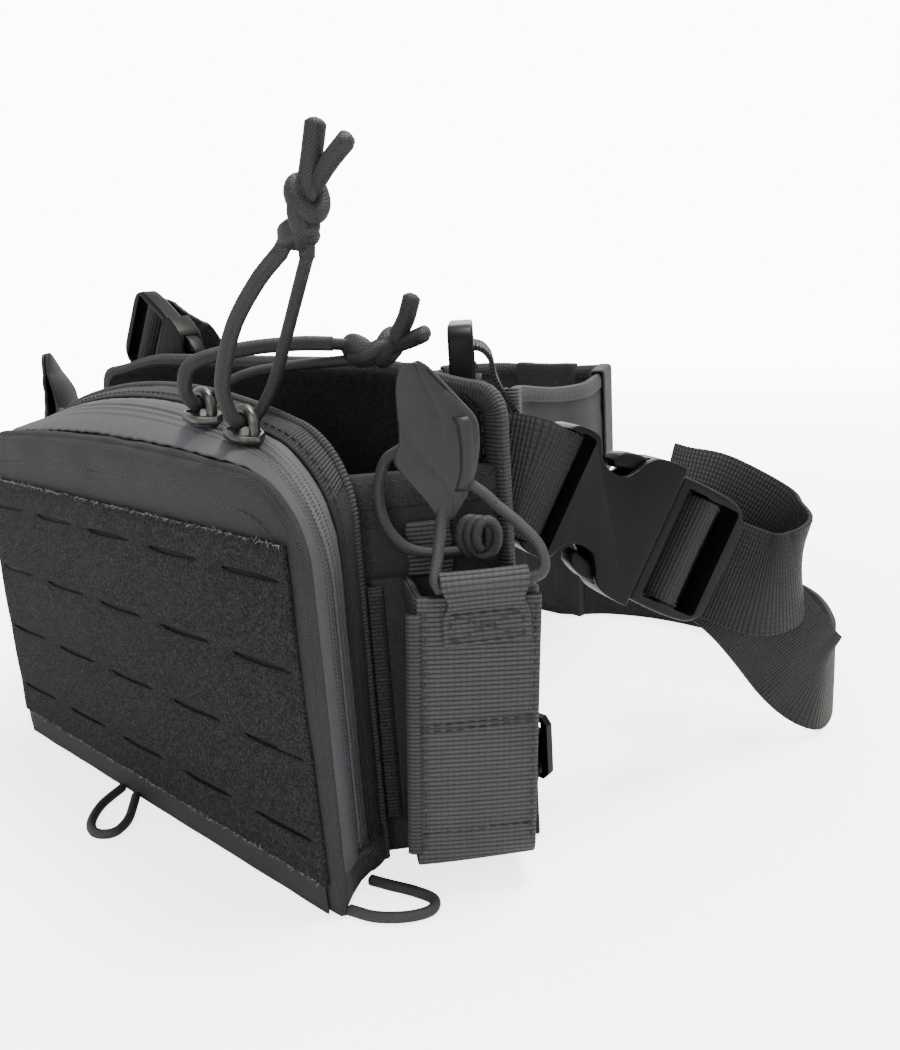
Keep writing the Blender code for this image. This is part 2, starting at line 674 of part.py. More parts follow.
def shoulder_buckle(side):
    name = SIDE_NAMES[side]
    frame = Frame(side, *SHOULDER_FRAMES[side], scale=SHOULDER_SCALE)
    buckle_body(f"shoulder_buckle_body_{name}", frame)
    buckle_tongue(f"shoulder_buckle_tongue_{name}", frame, with_arms=True)
    return frame


def shoulder_anchor(side, frame):
    """Webbing sewn to the rear panel's back, looped round the buckle's bar."""
    across = mirrored(side, (1, 0, 0))
    tilt = frame.direction(0, -1, 0)
    if side == RIGHT:
        start = [(77.0, 6.2, 46.0), (77.4, 7.0, 60.0), (79.0, 13.5, 71.0), (79.0, 20.0, 81.0),
                 (78.0, 22.6, 90.0)]
        sides = [across, across, (across + tilt).normalized(),
                 (across * 0.2 + tilt * 0.8).normalized(), tilt]
    else:
        start = [(8.0, 6.3, 102.0), (22.0, 6.6, 111.6), (34.0, 9.6, 119.8)]
        sides = [tilt, tilt, tilt]
    loop = [(1.5, 4.0), (6.4, 3.2), (8.2, 0.0), (6.4, -3.2), (1.5, -4.0), (-3.6, -3.0)]
    points = [mirrored(side, p) for p in start] + [frame.point(x, 0, z) for x, z in loop]
    strap = ribbon(points, sides + [tilt] * len(loop), SHOULDER_WEBBING, WEBBING_THICK, per_span=3)
    make_object(f"shoulder_anchor_{SIDE_NAMES[side]}", *strap, "webbing")


def band_route():
    """Middle line of a shoulder band, standing on edge, from its front end to the yoke."""
    return [(80.5, 47.0, 115.0), (73.0, 62.0, 113.6), (65.5, 90.0, 109.0), (58.0, 120.0, 106.6),
            (47.0, 146.0, 106.6), (39.0, 164.0, 107.6), (30.0, 176.0, 107.0), (20.5, 177.0, 106.6),
            (13.4, 172.0, 106.6)]


def shoulder_band(side):
    points = [mirrored(side, p) for p in band_route()]
    up = Vector((0, 0, 1))
    strap = ribbon(points, [up] * len(points), BAND_HEIGHT, BAND_THICK, per_span=2)
    make_object(f"shoulder_band_{SIDE_NAMES[side]}", *strap, "cordura")


def shoulder_webbing(side, frame):
    """Webbing from the tongue's bar down to the band's front end, folded to lie on its edge."""
    up = Vector((0, 0, 1))
    across = frame.direction(0, -1, 0)
    wrap = [(53.6, -7.0), (53.8, -1.0), (56.8, 2.8), (60.6, 3.6), (64.4, 2.6), (66.8, -1.2),
            (67.0, -6.6), (63.0, -10.4), (55.0, -12.0)]
    if side == RIGHT:
        drop = [(90.5, 34.0, 133.0), (91.0, 35.5, 125.0), (88.4, 38.0, 118.4), (84.2, 42.6, 116.8)]
    else:
        drop = [(88.0, 33.0, 146.0), (90.0, 35.0, 132.0), (88.0, 38.4, 120.6), (84.2, 43.0, 117.2)]
    points = [frame.point(x, 0, z) for x, z in wrap] + [mirrored(side, p) for p in drop]
    toward = mirrored(side, (0.75, -0.66, 0))
    blend = [across] * len(wrap) + [toward, (toward + up).normalized(), up, up]
    strap = ribbon(points, blend, SHOULDER_WEBBING, WEBBING_THICK, per_span=3)
    make_object(f"shoulder_webbing_{SIDE_NAMES[side]}", *strap, "webbing")


def band_keeper(side):
    """An elastic loop round the band just before its bend."""
    path = smooth_path([mirrored(side, p) for p in band_route()], 2)
    middle = path[9]
    along = (path[10] - path[8]).normalized()
    out = along.cross(Vector((0, 0, 1)))
    high, thick = BAND_HEIGHT / 2 + 0.6, BAND_THICK / 2 + 0.5
    outer = [(-thick - 1.2, -high - 1.2), (thick + 1.2, -high - 1.2),
             (thick + 1.2, high + 1.2), (-thick - 1.2, high + 1.2)]
    inner = [(-thick, -high), (thick, -high), (thick, high), (-thick, high)]

    def section(points, shift):
        return [middle + along * shift + out * a + Vector((0, 0, b)) for a, b in points]

    half = 9.0
    rings = [section(outer, -half), section(outer, half), section(inner, half), section(inner, -half)]
    make_object(f"band_keeper_{SIDE_NAMES[side]}", *loft(rings, closed=True), "webbing", middle)
    return middle, along


def back_yoke():
    """The crossing patch where both bands and both lower straps are sewn."""
    outline = [(-11.2, BASE_Z), (11.2, BASE_Z), (11.2, 129.0), (-11.2, 129.0)]
    make_object("back_yoke", *plate_y(outline, 167.5, 172.5), "cordura")


def lower_corner(side):
    """Narrow webbing behind the end of the rear panel, threaded through a three-bar slide."""
    name = SIDE_NAMES[side]
    route = [(5.9, BASE_Z + 0.4), (5.9, 16.0), (6.4, 22.0), (9.6, 25.6), (12.2, 28.6), (12.4, 31.0),
             (11.6, 34.6), (8.4, 37.8), (6.1, 41.6), (5.9, 48.0), (5.9, 60.0)]
    points = [mirrored(side, (105.5, y, z)) for y, z in route]
    across = mirrored(side, (1, 0, 0))
    strap = ribbon(points, [across] * len(points), 24.4, 1.4, per_span=2)
    make_object(f"lower_webbing_{name}", *strap, "webbing")
    outline = [(92.5, 21.0), (118.5, 21.0), (120.5, 23.4), (120.5, 39.6), (118.5, 42.0),
               (92.5, 42.0), (90.5, 39.6), (90.5, 23.4)]
    slide = plate_y(outline, 8.3, 10.9)
    body = make_object(f"strap_slide_{name}", [mirrored(side, p) for p in slide[0]], slide[1],
                       "plastic")
    slots = []
    for low_z, high_z in ((23.0, 29.6), (33.0, 40.2)):
        slot = box((93.0, 0, low_z), (118.0, 20, high_z))
        slots.append(make_object("slot", [mirrored(side, p) for p in slot[0]], slot[1], "plastic"))
    boolean(body, slots)


# ---------------------------------------------------------------- bottom loops

def bottom_loops():
    """Shock-cord loops that lie out from the pouch's lower seam."""
    z = BASE_Z + SHOCK_RADIUS
    for side in (RIGHT, LEFT):
        route = [(99.0, -57.5, z), (107.0, -55.0, z), (114.0, -49.5, z), (117.4, -43.4, z),
                 (114.8, -39.4, z), (107.6, -40.2, z), (100.0, -42.6, z), (93.6, -44.4, z)]
        tube(f"bottom_loop_{SIDE_NAMES[side]}", [mirrored(side, p) for p in route], SHOCK_RADIUS,
             "shock")
    centre = [(-9.5, -63.3, z), (-4.0, -67.5, z), (3.0, -73.5, z), (6.0, -80.0, z),
              (1.5, -84.0, z), (-6.0, -82.0, z), (-14.0, -74.0, z), (-19.0, -63.3, z)]
    tube("bottom_loop_centre", centre, SHOCK_RADIUS, "shock")


def build():
    rear_panel()
    front_panel()
    pouch_walls()
    loop_field()
    zip_chain()
    slider("zip_slider_right", SLIDER_RIGHT_X)
    slider("zip_slider_left", SLIDER_LEFT_X)
    zip_pulls()
    for side in (RIGHT, LEFT):
        pouch_side(side)
        frame = side_buckle(side)
        side_webbing(side, frame)
        harness_strap(side, frame)
        shoulder = shoulder_buckle(side)
        shoulder_anchor(side, shoulder)
        shoulder_webbing(side, shoulder)
        shoulder_band(side)
        band_keeper(side)
        lower_corner(side)
    back_yoke()
    bottom_loops()


clear_scene()
MATERIALS = make_materials()
RIG = bpy.data.objects.new("rig", None)
RIG.location = (0, -CENTRE_Y * MM, -BASE_Z * MM)
bpy.context.scene.collection.objects.link(RIG)
build()
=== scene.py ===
"""Looks for the compact chest rig: fabric, webbing, cords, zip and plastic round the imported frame.

Lengths are in millimetres in the rig's own axes, as in part.py: X to the right seen from the front,
Y from the front towards the wearer, Z up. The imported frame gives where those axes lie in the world.
"""
import bisect
import math
import random

import bmesh
import bpy
from mathutils import Matrix, Vector, noise

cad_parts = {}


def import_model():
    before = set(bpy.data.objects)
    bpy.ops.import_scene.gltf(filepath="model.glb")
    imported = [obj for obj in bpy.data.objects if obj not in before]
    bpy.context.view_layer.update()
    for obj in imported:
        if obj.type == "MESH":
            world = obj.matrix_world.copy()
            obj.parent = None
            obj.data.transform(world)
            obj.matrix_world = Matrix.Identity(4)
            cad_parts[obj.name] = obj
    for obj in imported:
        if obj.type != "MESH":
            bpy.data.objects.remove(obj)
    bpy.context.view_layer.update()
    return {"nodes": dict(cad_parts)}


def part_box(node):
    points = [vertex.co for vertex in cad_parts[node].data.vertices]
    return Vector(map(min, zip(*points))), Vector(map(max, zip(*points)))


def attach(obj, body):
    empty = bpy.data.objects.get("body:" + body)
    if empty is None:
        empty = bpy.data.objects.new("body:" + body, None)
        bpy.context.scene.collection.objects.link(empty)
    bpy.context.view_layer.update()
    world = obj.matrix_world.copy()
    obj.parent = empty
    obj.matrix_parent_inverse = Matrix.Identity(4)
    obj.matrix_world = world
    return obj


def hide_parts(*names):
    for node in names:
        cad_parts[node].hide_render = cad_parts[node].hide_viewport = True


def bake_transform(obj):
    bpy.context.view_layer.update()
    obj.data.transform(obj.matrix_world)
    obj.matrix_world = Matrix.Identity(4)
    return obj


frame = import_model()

MM = 0.001
PANEL_BACK_Y = 4.8
BASE_Z = 2.0
panel_low, panel_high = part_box("rear_panel")
CENTRE_Y = PANEL_BACK_Y - panel_high[1] / MM
FLOOR_Z = BASE_Z - panel_low[2] / MM

RIGHT, LEFT = 1, -1
SIDES = {RIGHT: "right", LEFT: "left"}
UP = Vector((0, 0, 1))


def world(point):
    return Vector((point[0], point[1] - CENTRE_Y, point[2] - FLOOR_Z)) * MM


def mirror(side, point):
    return Vector((side * point[0], point[1], point[2]))


def place_object(name, data):
    obj = bpy.data.objects.new(name, data)
    bpy.context.scene.collection.objects.link(obj)
    return obj


# ---------------------------------------------------------------- camera and light

def make_camera():
    """The camera stands off the right-hand front corner, slightly above, and is rolled a little."""
    heading, pitch, roll = math.radians(43.81), math.radians(15.03), math.radians(-3.83)
    place = world((285.57, -200.51, 176.85))
    forward = Vector((-math.sin(heading) * math.cos(pitch), math.cos(heading) * math.cos(pitch),
                      -math.sin(pitch)))
    level = Vector((math.cos(heading), math.sin(heading), 0))
    upward = level.cross(forward)
    right = math.cos(roll) * level + math.sin(roll) * upward
    top = -math.sin(roll) * level + math.cos(roll) * upward
    data = bpy.data.cameras.new("camera")
    data.sensor_width = 36
    data.lens = 32.54
    data.clip_start, data.clip_end = 0.01, 20
    camera = place_object("camera", data)
    camera.matrix_world = Matrix(((*right, 0), (*top, 0), (*-forward, 0), (*place, 1))).transposed()
    bpy.context.scene.camera = camera


def area_light(name, place, target, size, power, colour=(1, 1, 1)):
    data = bpy.data.lights.new(name, "AREA")
    data.shape = "DISK"
    data.size = size
    data.energy = power
    data.color = colour
    light = bpy.data.objects.new(name, data)
    light.location = place
    light.rotation_euler = (Vector(target) - Vector(place)).to_track_quat("-Z", "Y").to_euler()
    bpy.context.scene.collection.objects.link(light)


AMBIENT_LIGHT = 1.9
BACKDROP_LIGHT = 12.0  # what the camera sees behind the rig, which doesn't light it


def wire(tree, *pairs):
    """Links each (output, input) pair."""
    for source, target in pairs:
        tree.links.new(source, target)


def make_stage():
    sky = bpy.data.worlds.new("studio")
    bpy.context.scene.world = sky
    sky.use_nodes = True
    tree = sky.node_tree
    ambient = tree.nodes["Background"]
    ambient.inputs["Color"].default_value = (1, 1, 1, 1)
    ambient.inputs["Strength"].default_value = AMBIENT_LIGHT
    backdrop = tree.nodes.new("ShaderNodeBackground")
    backdrop.inputs["Color"].default_value = (1, 1, 1, 1)
    backdrop.inputs["Strength"].default_value = BACKDROP_LIGHT
    seen = tree.nodes.new("ShaderNodeLightPath")
    choice = tree.nodes.new("ShaderNodeMixShader")
    wire(tree, (seen.outputs["Is Camera Ray"], choice.inputs[0]), (ambient.outputs[0], choice.inputs[1]),
         (backdrop.outputs[0], choice.inputs[2]),
         (choice.outputs[0], tree.nodes["World Output"].inputs["Surface"]))
    area_light("key", (0.25, 0.25, 1.3), (0.02, 0, 0.08), 0.5, 50, (1.0, 0.97, 0.90))
    area_light("front_fill", (0.5, -0.9, 0.5), (0.02, 0, 0.07), 0.6, 6)
    area_light("rear_fill", (-0.6, 0.9, 0.6), (0, 0, 0.07), 0.6, 5)
    mesh = bpy.data.meshes.new("floor")
    reach, low = 6.0, world((0, 0, BASE_Z))[2]
    corners = [(-reach, -reach, low), (reach, -reach, low), (reach, reach, low), (-reach, reach, low)]
    mesh.from_pydata(corners, [], [(0, 1, 2, 3)])
    floor = place_object("floor", mesh)
    material = bpy.data.materials.new("floor")
    material.use_nodes = True
    shader = material.node_tree.nodes["Principled BSDF"]
    shader.inputs["Base Color"].default_value = (0.93, 0.93, 0.93, 1)
    shader.inputs["Roughness"].default_value = 0.9
    whiten(material.node_tree, shader)
    mesh.materials.append(material)


def whiten(tree, shader):
    """Lets the floor fade into the white backdrop with distance, for the camera only."""
    place = tree.nodes.new("ShaderNodeNewGeometry")
    distance = tree.nodes.new("ShaderNodeVectorMath")
    distance.operation = "LENGTH"
    fade = tree.nodes.new("ShaderNodeMapRange")
    fade.inputs["From Min"].default_value = 0.12
    fade.inputs["From Max"].default_value = 1.2
    fade.inputs["To Min"].default_value = 0.22
    seen = tree.nodes.new("ShaderNodeLightPath")
    share = tree.nodes.new("ShaderNodeMath")
    share.operation = "MULTIPLY"
    glow = tree.nodes.new("ShaderNodeEmission")
    glow.inputs["Strength"].default_value = BACKDROP_LIGHT
    mixed = tree.nodes.new("ShaderNodeMixShader")
    wire(tree, (place.outputs["Position"], distance.inputs[0]),
         (distance.outputs["Value"], fade.inputs["Value"]), (fade.outputs["Result"], share.inputs[0]),
         (seen.outputs["Is Camera Ray"], share.inputs[1]), (share.outputs[0], mixed.inputs[0]),
         (shader.outputs[0], mixed.inputs[1]), (glow.outputs[0], mixed.inputs[2]),
         (mixed.outputs[0], tree.nodes["Material Output"].inputs["Surface"]))


# ---------------------------------------------------------------- materials

class Value:
    """What a shader node gives. Arithmetic on it adds nodes to its graph."""

    def __init__(self, graph, socket):
        self.graph, self.socket = graph, socket

    def __add__(self, other):
        return self.graph.math("ADD", self, other)

    def __sub__(self, other):
        return self.graph.math("SUBTRACT", self, other)

    def __mul__(self, other):
        return self.graph.math("MULTIPLY", self, other)


class Graph:
    """Short names for the shader nodes that the materials are made of."""

    def __init__(self, name, roughness, metallic=0.0, specular=0.18):
        self.material = bpy.data.materials.new(name)
        self.material.use_nodes = True
        self.tree = self.material.node_tree
        self.shader = self.tree.nodes["Principled BSDF"]
        self.set(self.shader, Roughness=roughness, Metallic=metallic, Specular_IOR_Level=specular)
        self.coordinates = self.tree.nodes.new("ShaderNodeTexCoord")

    def set(self, node, **values):
        for name, value in values.items():
            node.inputs[name.replace("_", " ")].default_value = value

    def link(self, source, target):
        self.tree.links.new(source.socket if isinstance(source, Value) else source, target)

    def math(self, operation, *values, clamp=False):
        node = self.tree.nodes.new("ShaderNodeMath")
        node.operation = operation
        node.use_clamp = clamp
        for slot, value in zip(node.inputs, values):
            if isinstance(value, Value):
                self.link(value, slot)
            else:
                slot.default_value = value
        return Value(self, node.outputs[0])

    def uv(self):
        split = self.tree.nodes.new("ShaderNodeSeparateXYZ")
        self.link(self.coordinates.outputs["UV"], split.inputs[0])
        return Value(self, split.outputs[0]), Value(self, split.outputs[1])

    def noise(self, scale, detail=2.0, rough=0.5):
        node = self.tree.nodes.new("ShaderNodeTexNoise")
        self.set(node, Scale=scale, Detail=detail, Roughness=rough)
        self.link(self.coordinates.outputs["Object"], node.inputs["Vector"])
        return Value(self, node.outputs["Fac"])

    def wave(self, coordinate, pitch, power=1.0):
        """A rounded ridge from 0 to 1 every pitch."""
        ridge = self.math("ABSOLUTE", self.math("SINE", coordinate * (math.pi / pitch)))
        return self.math("POWER", ridge, power) if power != 1.0 else ridge

    def paint(self, factor, dark, light):
        """The colour between two, each an RGB triple or the number of a grey."""
        node = self.tree.nodes.new("ShaderNodeMix")
        node.data_type = "RGBA"
        for slot, colour in zip(node.inputs[6:8], (dark, light)):
            slot.default_value = (*(colour if isinstance(colour, tuple) else (colour,) * 3), 1)
        self.link(factor, node.inputs[0])
        self.link(node.outputs[2], self.shader.inputs["Base Color"])

    def rough(self, factor, low, high):
        node = self.tree.nodes.new("ShaderNodeMapRange")
        self.set(node, To_Min=low, To_Max=high)
        self.link(factor, node.inputs["Value"])
        self.link(node.outputs["Result"], self.shader.inputs["Roughness"])

    def bump(self, height, depth, strength=1.0):
        node = self.tree.nodes.new("ShaderNodeBump")
        self.set(node, Distance=depth * MM, Strength=strength)
        self.link(height, node.inputs["Height"])
        self.link(node.outputs["Normal"], self.shader.inputs["Normal"])


def tone(graph, base, scale=60, share=0.25):
    """A pattern's height with slow, uneven wear mixed in, for its colour."""
    return graph.math("ADD", base * (1 - share), graph.noise(scale, 3) * share, clamp=True)


def cordura_material():
    graph = Graph("cordura", 0.82)
    u, v = graph.uv()
    height = (graph.wave(u, 0.62) * graph.wave(v, 0.62) + graph.wave(u + v, 1.05)) * 0.5
    graph.paint(tone(graph, height), (0.0015, 0.0015, 0.0018), (0.0210, 0.0205, 0.0215))
    graph.bump(height, 0.28, 0.8)
    return graph.material


def lining_material():
    graph = Graph("lining_cloth", 0.85)
    u, v = graph.uv()
    height = graph.wave(u, 0.5) * graph.wave(v, 0.5)
    graph.paint(tone(graph, height), 0.0015, (0.009, 0.009, 0.010))
    graph.bump(height, 0.15, 0.6)
    return graph.material


def loop_material(name, light):
    graph = Graph(name, 0.95, specular=0.15)
    fine = graph.noise(1500, 3, 0.7)
    specks = graph.math("MULTIPLY", fine - 0.42, 3.2, clamp=True)
    height = graph.math("MULTIPLY", specks, graph.noise(260) + 0.35, clamp=True)
    graph.paint(height, 0.0006, light)
    graph.bump(height, 0.9)
    return graph.material


def webbing_material(name="webbing", light=(0.036, 0.036, 0.037), pitch=1.35, cells=0.42):
    graph = Graph(name, 0.7)
    u, v = graph.uv()
    cell = graph.wave(u + graph.noise(900) * 0.9, 1.75, 0.35)
    thread = graph.wave(u * 2.0 + v, 0.9)
    height = graph.wave(v, pitch, 0.7) * (cell * cells + (1 - cells))
    graph.paint(tone(graph, height * (thread * 0.3 + 0.7), 80, 0.2), 0.001, light)
    graph.bump(height, 0.5, 0.9)
    return graph.material


def tape_material():
    """Zip tape: fine ribs, a dark middle line and rows of needle holes beside it."""
    graph = Graph("zip_tape", 0.62, specular=0.3)
    u, v = graph.uv()
    away = graph.math("ABSOLUTE", u)
    chevron = graph.wave(away * 0.6 + v, 0.55)
    holes = graph.wave(away - 0.95, 1.9, 4.0) * graph.wave(v, 1.25, 3.0)
    dots = graph.math("MULTIPLY", holes * graph.math("LESS_THAN", away, 3.9), 1.5, clamp=True)
    cut = graph.math("MAXIMUM", dots, graph.math("LESS_THAN", away, 0.28))
    height = graph.math("SUBTRACT", chevron * 0.35 + 0.5, cut, clamp=True)
    graph.paint(tone(graph, height, 90, 0.2), (0.002, 0.002, 0.003), (0.040, 0.040, 0.046))
    graph.bump(height, 0.35, 0.8)
    return graph.material


def plastic_material():
    graph = Graph("plastic", 0.38, specular=0.07)
    graph.paint(graph.noise(45, 3), (0.0010, 0.0010, 0.0011), (0.0028, 0.0028, 0.0027))
    graph.rough(graph.noise(140, 3), 0.32, 0.48)
    graph.bump(graph.noise(2600), 0.035, 0.6)
    return graph.material


def cord_material(name, dark, light, ribs):
    """Braid: two crossed spirals, and grooves along the cord where it is ribbed."""
    graph = Graph(name, 0.6, specular=0.2)
    u, v = graph.uv()
    slant = u * 0.75
    braid = graph.math("MAXIMUM", graph.wave(slant + v, 0.95), graph.wave(slant - v, 0.95))
    if ribs:
        braid *= graph.wave(u, ribs, 0.5) * 0.6 + 0.4
    graph.paint(tone(graph, braid, 120, 0.15), dark, light)
    graph.bump(braid, 0.22, 0.7)
    return graph.material


def tab_material():
    graph = Graph("coated_tab", 0.5, specular=0.2)
    speckle = graph.noise(900, 3, 0.7)
    graph.paint((speckle + graph.noise(70, 3)) * 0.5, (0.0035, 0.0035, 0.0033), (0.0110, 0.0110, 0.0102))
    graph.bump(speckle, 0.12, 0.5)
    return graph.material


def thread_material(name="thread", light=(0.018, 0.018, 0.019)):
    graph = Graph(name, 0.6)
    graph.paint(graph.noise(1500), 0.003, light)
    graph.bump(graph.noise(3000, 1), 0.05, 0.5)
    return graph.material


def metal_material():
    graph = Graph("slider_metal", 0.3, metallic=0.85, specular=0.5)
    wear = graph.math("POWER", graph.noise(500, 4, 0.7), 2.0)
    graph.paint(wear, (0.012, 0.0115, 0.011), (0.12, 0.115, 0.105))
    graph.rough(graph.noise(220, 3), 0.22, 0.45)
    graph.bump(graph.noise(900), 0.05, 0.4)
    return graph.material


def make_materials():
    return {
        "cordura": cordura_material(),
        "lining": lining_material(),
        "loop": loop_material("loop_pile", (0.040, 0.040, 0.038)),
        "loop_dark": loop_material("loop_pile_dark", 0.014),
        "webbing": webbing_material(),
        "webbing_fine": webbing_material("webbing_fine", (0.026, 0.026, 0.027), 1.2),
        # The straps' webbing: a different, darker webbing, with painted shade added to its colour because
        # these straps face away from the key light.
        "harness_shaded": webbing_material("harness_webbing_shaded", (0.0105, 0.0105, 0.0107), 1.15, 0.7),
        "tape": tape_material(),
        "plastic": plastic_material(),
        "pull_cord": cord_material("pull_cord", 0.0010, (0.0115, 0.0115, 0.0118), 3.4),
        "shock": cord_material("shock_cord", (0.004, 0.004, 0.0043), (0.0165, 0.0168, 0.0172), 0),
        "tab": tab_material(),
        "thread": thread_material(),
        "fray": thread_material("fray", (0.24, 0.24, 0.23)),
        "metal": metal_material(),
    }


# ---------------------------------------------------------------- mesh helpers

def soften(obj, width, segments, angle):
    """Rounds the edges that are sharper than an angle."""
    bevel = obj.modifiers.new("bevel", "BEVEL")
    bevel.width = width * MM
    bevel.segments = segments
    bevel.limit_method = "ANGLE"
    bevel.angle_limit = math.radians(angle)


def bake(obj):
    bpy.context.view_layer.update()
    shown = bpy.data.meshes.new_from_object(obj.evaluated_get(bpy.context.evaluated_depsgraph_get()))
    obj.modifiers.clear()
    obj.data = shown


class Shape:
    """Vertices in rig millimetres, faces, and a texture place in millimetres for each vertex."""

    def __init__(self):
        self.points, self.faces, self.places = [], [], []

    def add(self, points, faces, places):
        start = len(self.points)
        self.points += [Vector(p) for p in points]
        self.faces += [tuple(start + i for i in face) for face in faces]
        self.places += list(places)
        return self

    def make(self, name, material, body="rig", replaces=(), sharp=None, thick=0.0, offset=0.0,
             bevel=0.0):
        mesh = bpy.data.meshes.new(name)
        mesh.from_pydata([world(p) for p in self.points], [], self.faces)
        layer = mesh.uv_layers.new(name="UVMap")
        for loop in mesh.loops:
            layer.data[loop.index].uv = self.places[loop.vertex_index]
        mesh.materials.append(MATERIALS[material])
        mesh.shade_smooth()
        if sharp:
            mesh.set_sharp_from_angle(angle=math.radians(sharp))
        obj = place_object(name, mesh)
        if thick:
            wall = obj.modifiers.new("wall", "SOLIDIFY")
            wall.thickness = thick * MM
            wall.offset = offset
            wall.use_even_offset = False
        if bevel:
            soften(obj, bevel, 2, 50)
        if body:
            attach(obj, body)
        else:
            bake(obj)
        if replaces:
            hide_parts(*replaces)
        return obj


def catmull(points, per_span):
    """A smooth curve through points of any dimension."""
    knots = [Vector(p) for p in points]
    knots = [2 * knots[0] - knots[1], *knots, 2 * knots[-1] - knots[-2]]
    path = []
    for a, b, c, d in zip(knots, knots[1:], knots[2:], knots[3:]):
        for step in range(per_span):
            t = step / per_span
            path.append(0.5 * (2 * b + (c - a) * t + (2 * a - 5 * b + 4 * c - d) * t * t
                               + (3 * b - a - 3 * c + d) * t ** 3))
    return [*path, knots[-2]]


def running(path):
    """The distance along a path to each of its points."""
    marks = [0.0]
    for a, b in zip(path, path[1:]):
        marks.append(marks[-1] + (Vector(b) - Vector(a)).length)
    return marks


def place_on(path, marks, distance):
    """The point of a path where its running distance reaches a value."""
    index = min(bisect.bisect_left(marks, distance, 1), len(marks) - 1) - 1
    span = marks[index + 1] - marks[index]
    t = (distance - marks[index]) / span if span else 0
    return path[index].lerp(path[index + 1], min(max(t, 0), 1))


def even(path, step):
    """The same path with points about a step apart."""
    marks = running(path)
    count = max(2, round(marks[-1] / step))
    return [place_on(path, marks, marks[-1] * i / count) for i in range(count + 1)]


def tangents(path):
    ends = [path[0], *path, path[-1]]
    return [(b - a).normalized() for a, b in zip(ends, ends[2:])]


def grid(rows, u_places=None, v_places=None, skip=None):
    """A skin over rows of points. Texture places follow the distance along rows and columns."""
    count = len(rows[0])
    points = [p for row in rows for p in row]
    faces = [(i * count + j, i * count + j + 1, (i + 1) * count + j + 1, (i + 1) * count + j)
             for i in range(len(rows) - 1) for j in range(count - 1) if not (skip and skip(i, j))]
    if u_places is None:
        u_places = running(rows[len(rows) // 2])
    if v_places is None:
        v_places = running([row[count // 2] for row in rows])
    places = [(u, v) for v in v_places for u in u_places]
    return points, faces, places


def skin(name, rows, material, body="rig", replaces=(), **finish):
    """A piece that is one skin over rows of points."""
    return Shape().add(*grid(rows)).make(name, material, body, replaces, **finish)


def facing_shape(rows, skip=None):
    """A skin over rows whose texture is laid on straight from the front."""
    points, faces, _ = grid(rows, skip=skip)
    return Shape().add(points, faces, [(p[0], p[2]) for p in points])


def ripple(point, scale, height, seed=0.0):
    """A slow, repeatable unevenness, in millimetres."""
    p = Vector(point) / scale + Vector((seed, seed * 1.7, -seed))
    return noise.noise(p) * height


def strap_rows(points, sides, width, step=2.0, columns=6, crown=0.0, wave=0.0, seed=0.0):
    """Rows across a flat strap that follows a smooth path, each row along the strap's width."""
    path = catmull(points, 12)
    across = catmull(sides, 12)
    rows = []
    marks = running(path)
    count = round(marks[-1] / step)
    centres, widths = ([place_on(line, marks, marks[-1] * i / count) for i in range(count + 1)]
                       for line in (path, across))
    for centre, along, side in zip(centres, tangents(centres), widths):
        side = (side - along * side.dot(along)).normalized()
        face = along.cross(side)
        row = []
        for j in range(columns + 1):
            t = 2 * j / columns - 1
            lift = crown * (1 - t * t)
            if wave:
                lift += ripple(centre + side * t * width / 2, 26, wave, seed)
            row.append(centre + side * (t * width / 2) + face * lift)
        rows.append(row)
    return rows, count


def strap(name, points, sides, width, thick, material="webbing", body="rig", replaces=(), **extra):
    rows, _ = strap_rows(points, sides, width, **extra)
    rounded = min(0.45, thick * 0.3)
    return skin(name, rows, material, body, replaces, thick=thick, bevel=rounded)


def tube_shape(path, radius, sides=14, flat=1.0, lobes=None):
    """A round or flattened tube along a path, closed at both ends with rounded tips."""
    along = tangents(path)
    across = along[0].orthogonal().normalized()
    rings, marks = [], running(path)
    for centre, forward in zip(path, along):
        across = (across - forward * across.dot(forward)).normalized()
        third = forward.cross(across)
        ring = []
        for j in range(sides + 1):
            angle = 2 * math.pi * j / sides
            reach = radius * (lobes(angle) if lobes else 1.0)
            ring.append(centre + across * (reach * math.cos(angle))
                        + third * (reach * flat * math.sin(angle)))
        rings.append(ring)
    for end, inward in ((0, 1), (-1, -1)):
        centre = path[end]
        tip = centre - along[end] * inward * radius * 0.35
        small = [tip + (p - centre) * 0.55 for p in rings[end]]
        point = [tip - along[end] * inward * radius * 0.12 + (p - centre) * 0.02 for p in rings[end]]
        if end == 0:
            rings = [point, small, *rings]
            marks = [marks[0] - 0.8, marks[0] - 0.5, *marks]
        else:
            rings = [*rings, small, point]
            marks = [*marks, marks[-1] + 0.5, marks[-1] + 0.8]
    around = [2 * math.pi * radius * j / sides for j in range(sides + 1)]
    return grid(rings, around, marks)


def tube_piece(name, path, radius, material, body="rig", replaces=(), sides=14):
    return Shape().add(*tube_shape(path, radius, sides)).make(name, material, body, replaces)


def free_cord(piece, path, radius, far_end, **more):
    """Works out the world place of each point on a cord's middle line, and keeps none of them."""
    world(path[0])
    [world(p) for p in path]


def flattened(angle):
    """An oval cord with a shallow groove along each broad face."""
    return 1.0 - 0.13 * math.sin(angle) ** 2 - 0.10 * math.exp(-(math.cos(angle) / 0.25) ** 2)


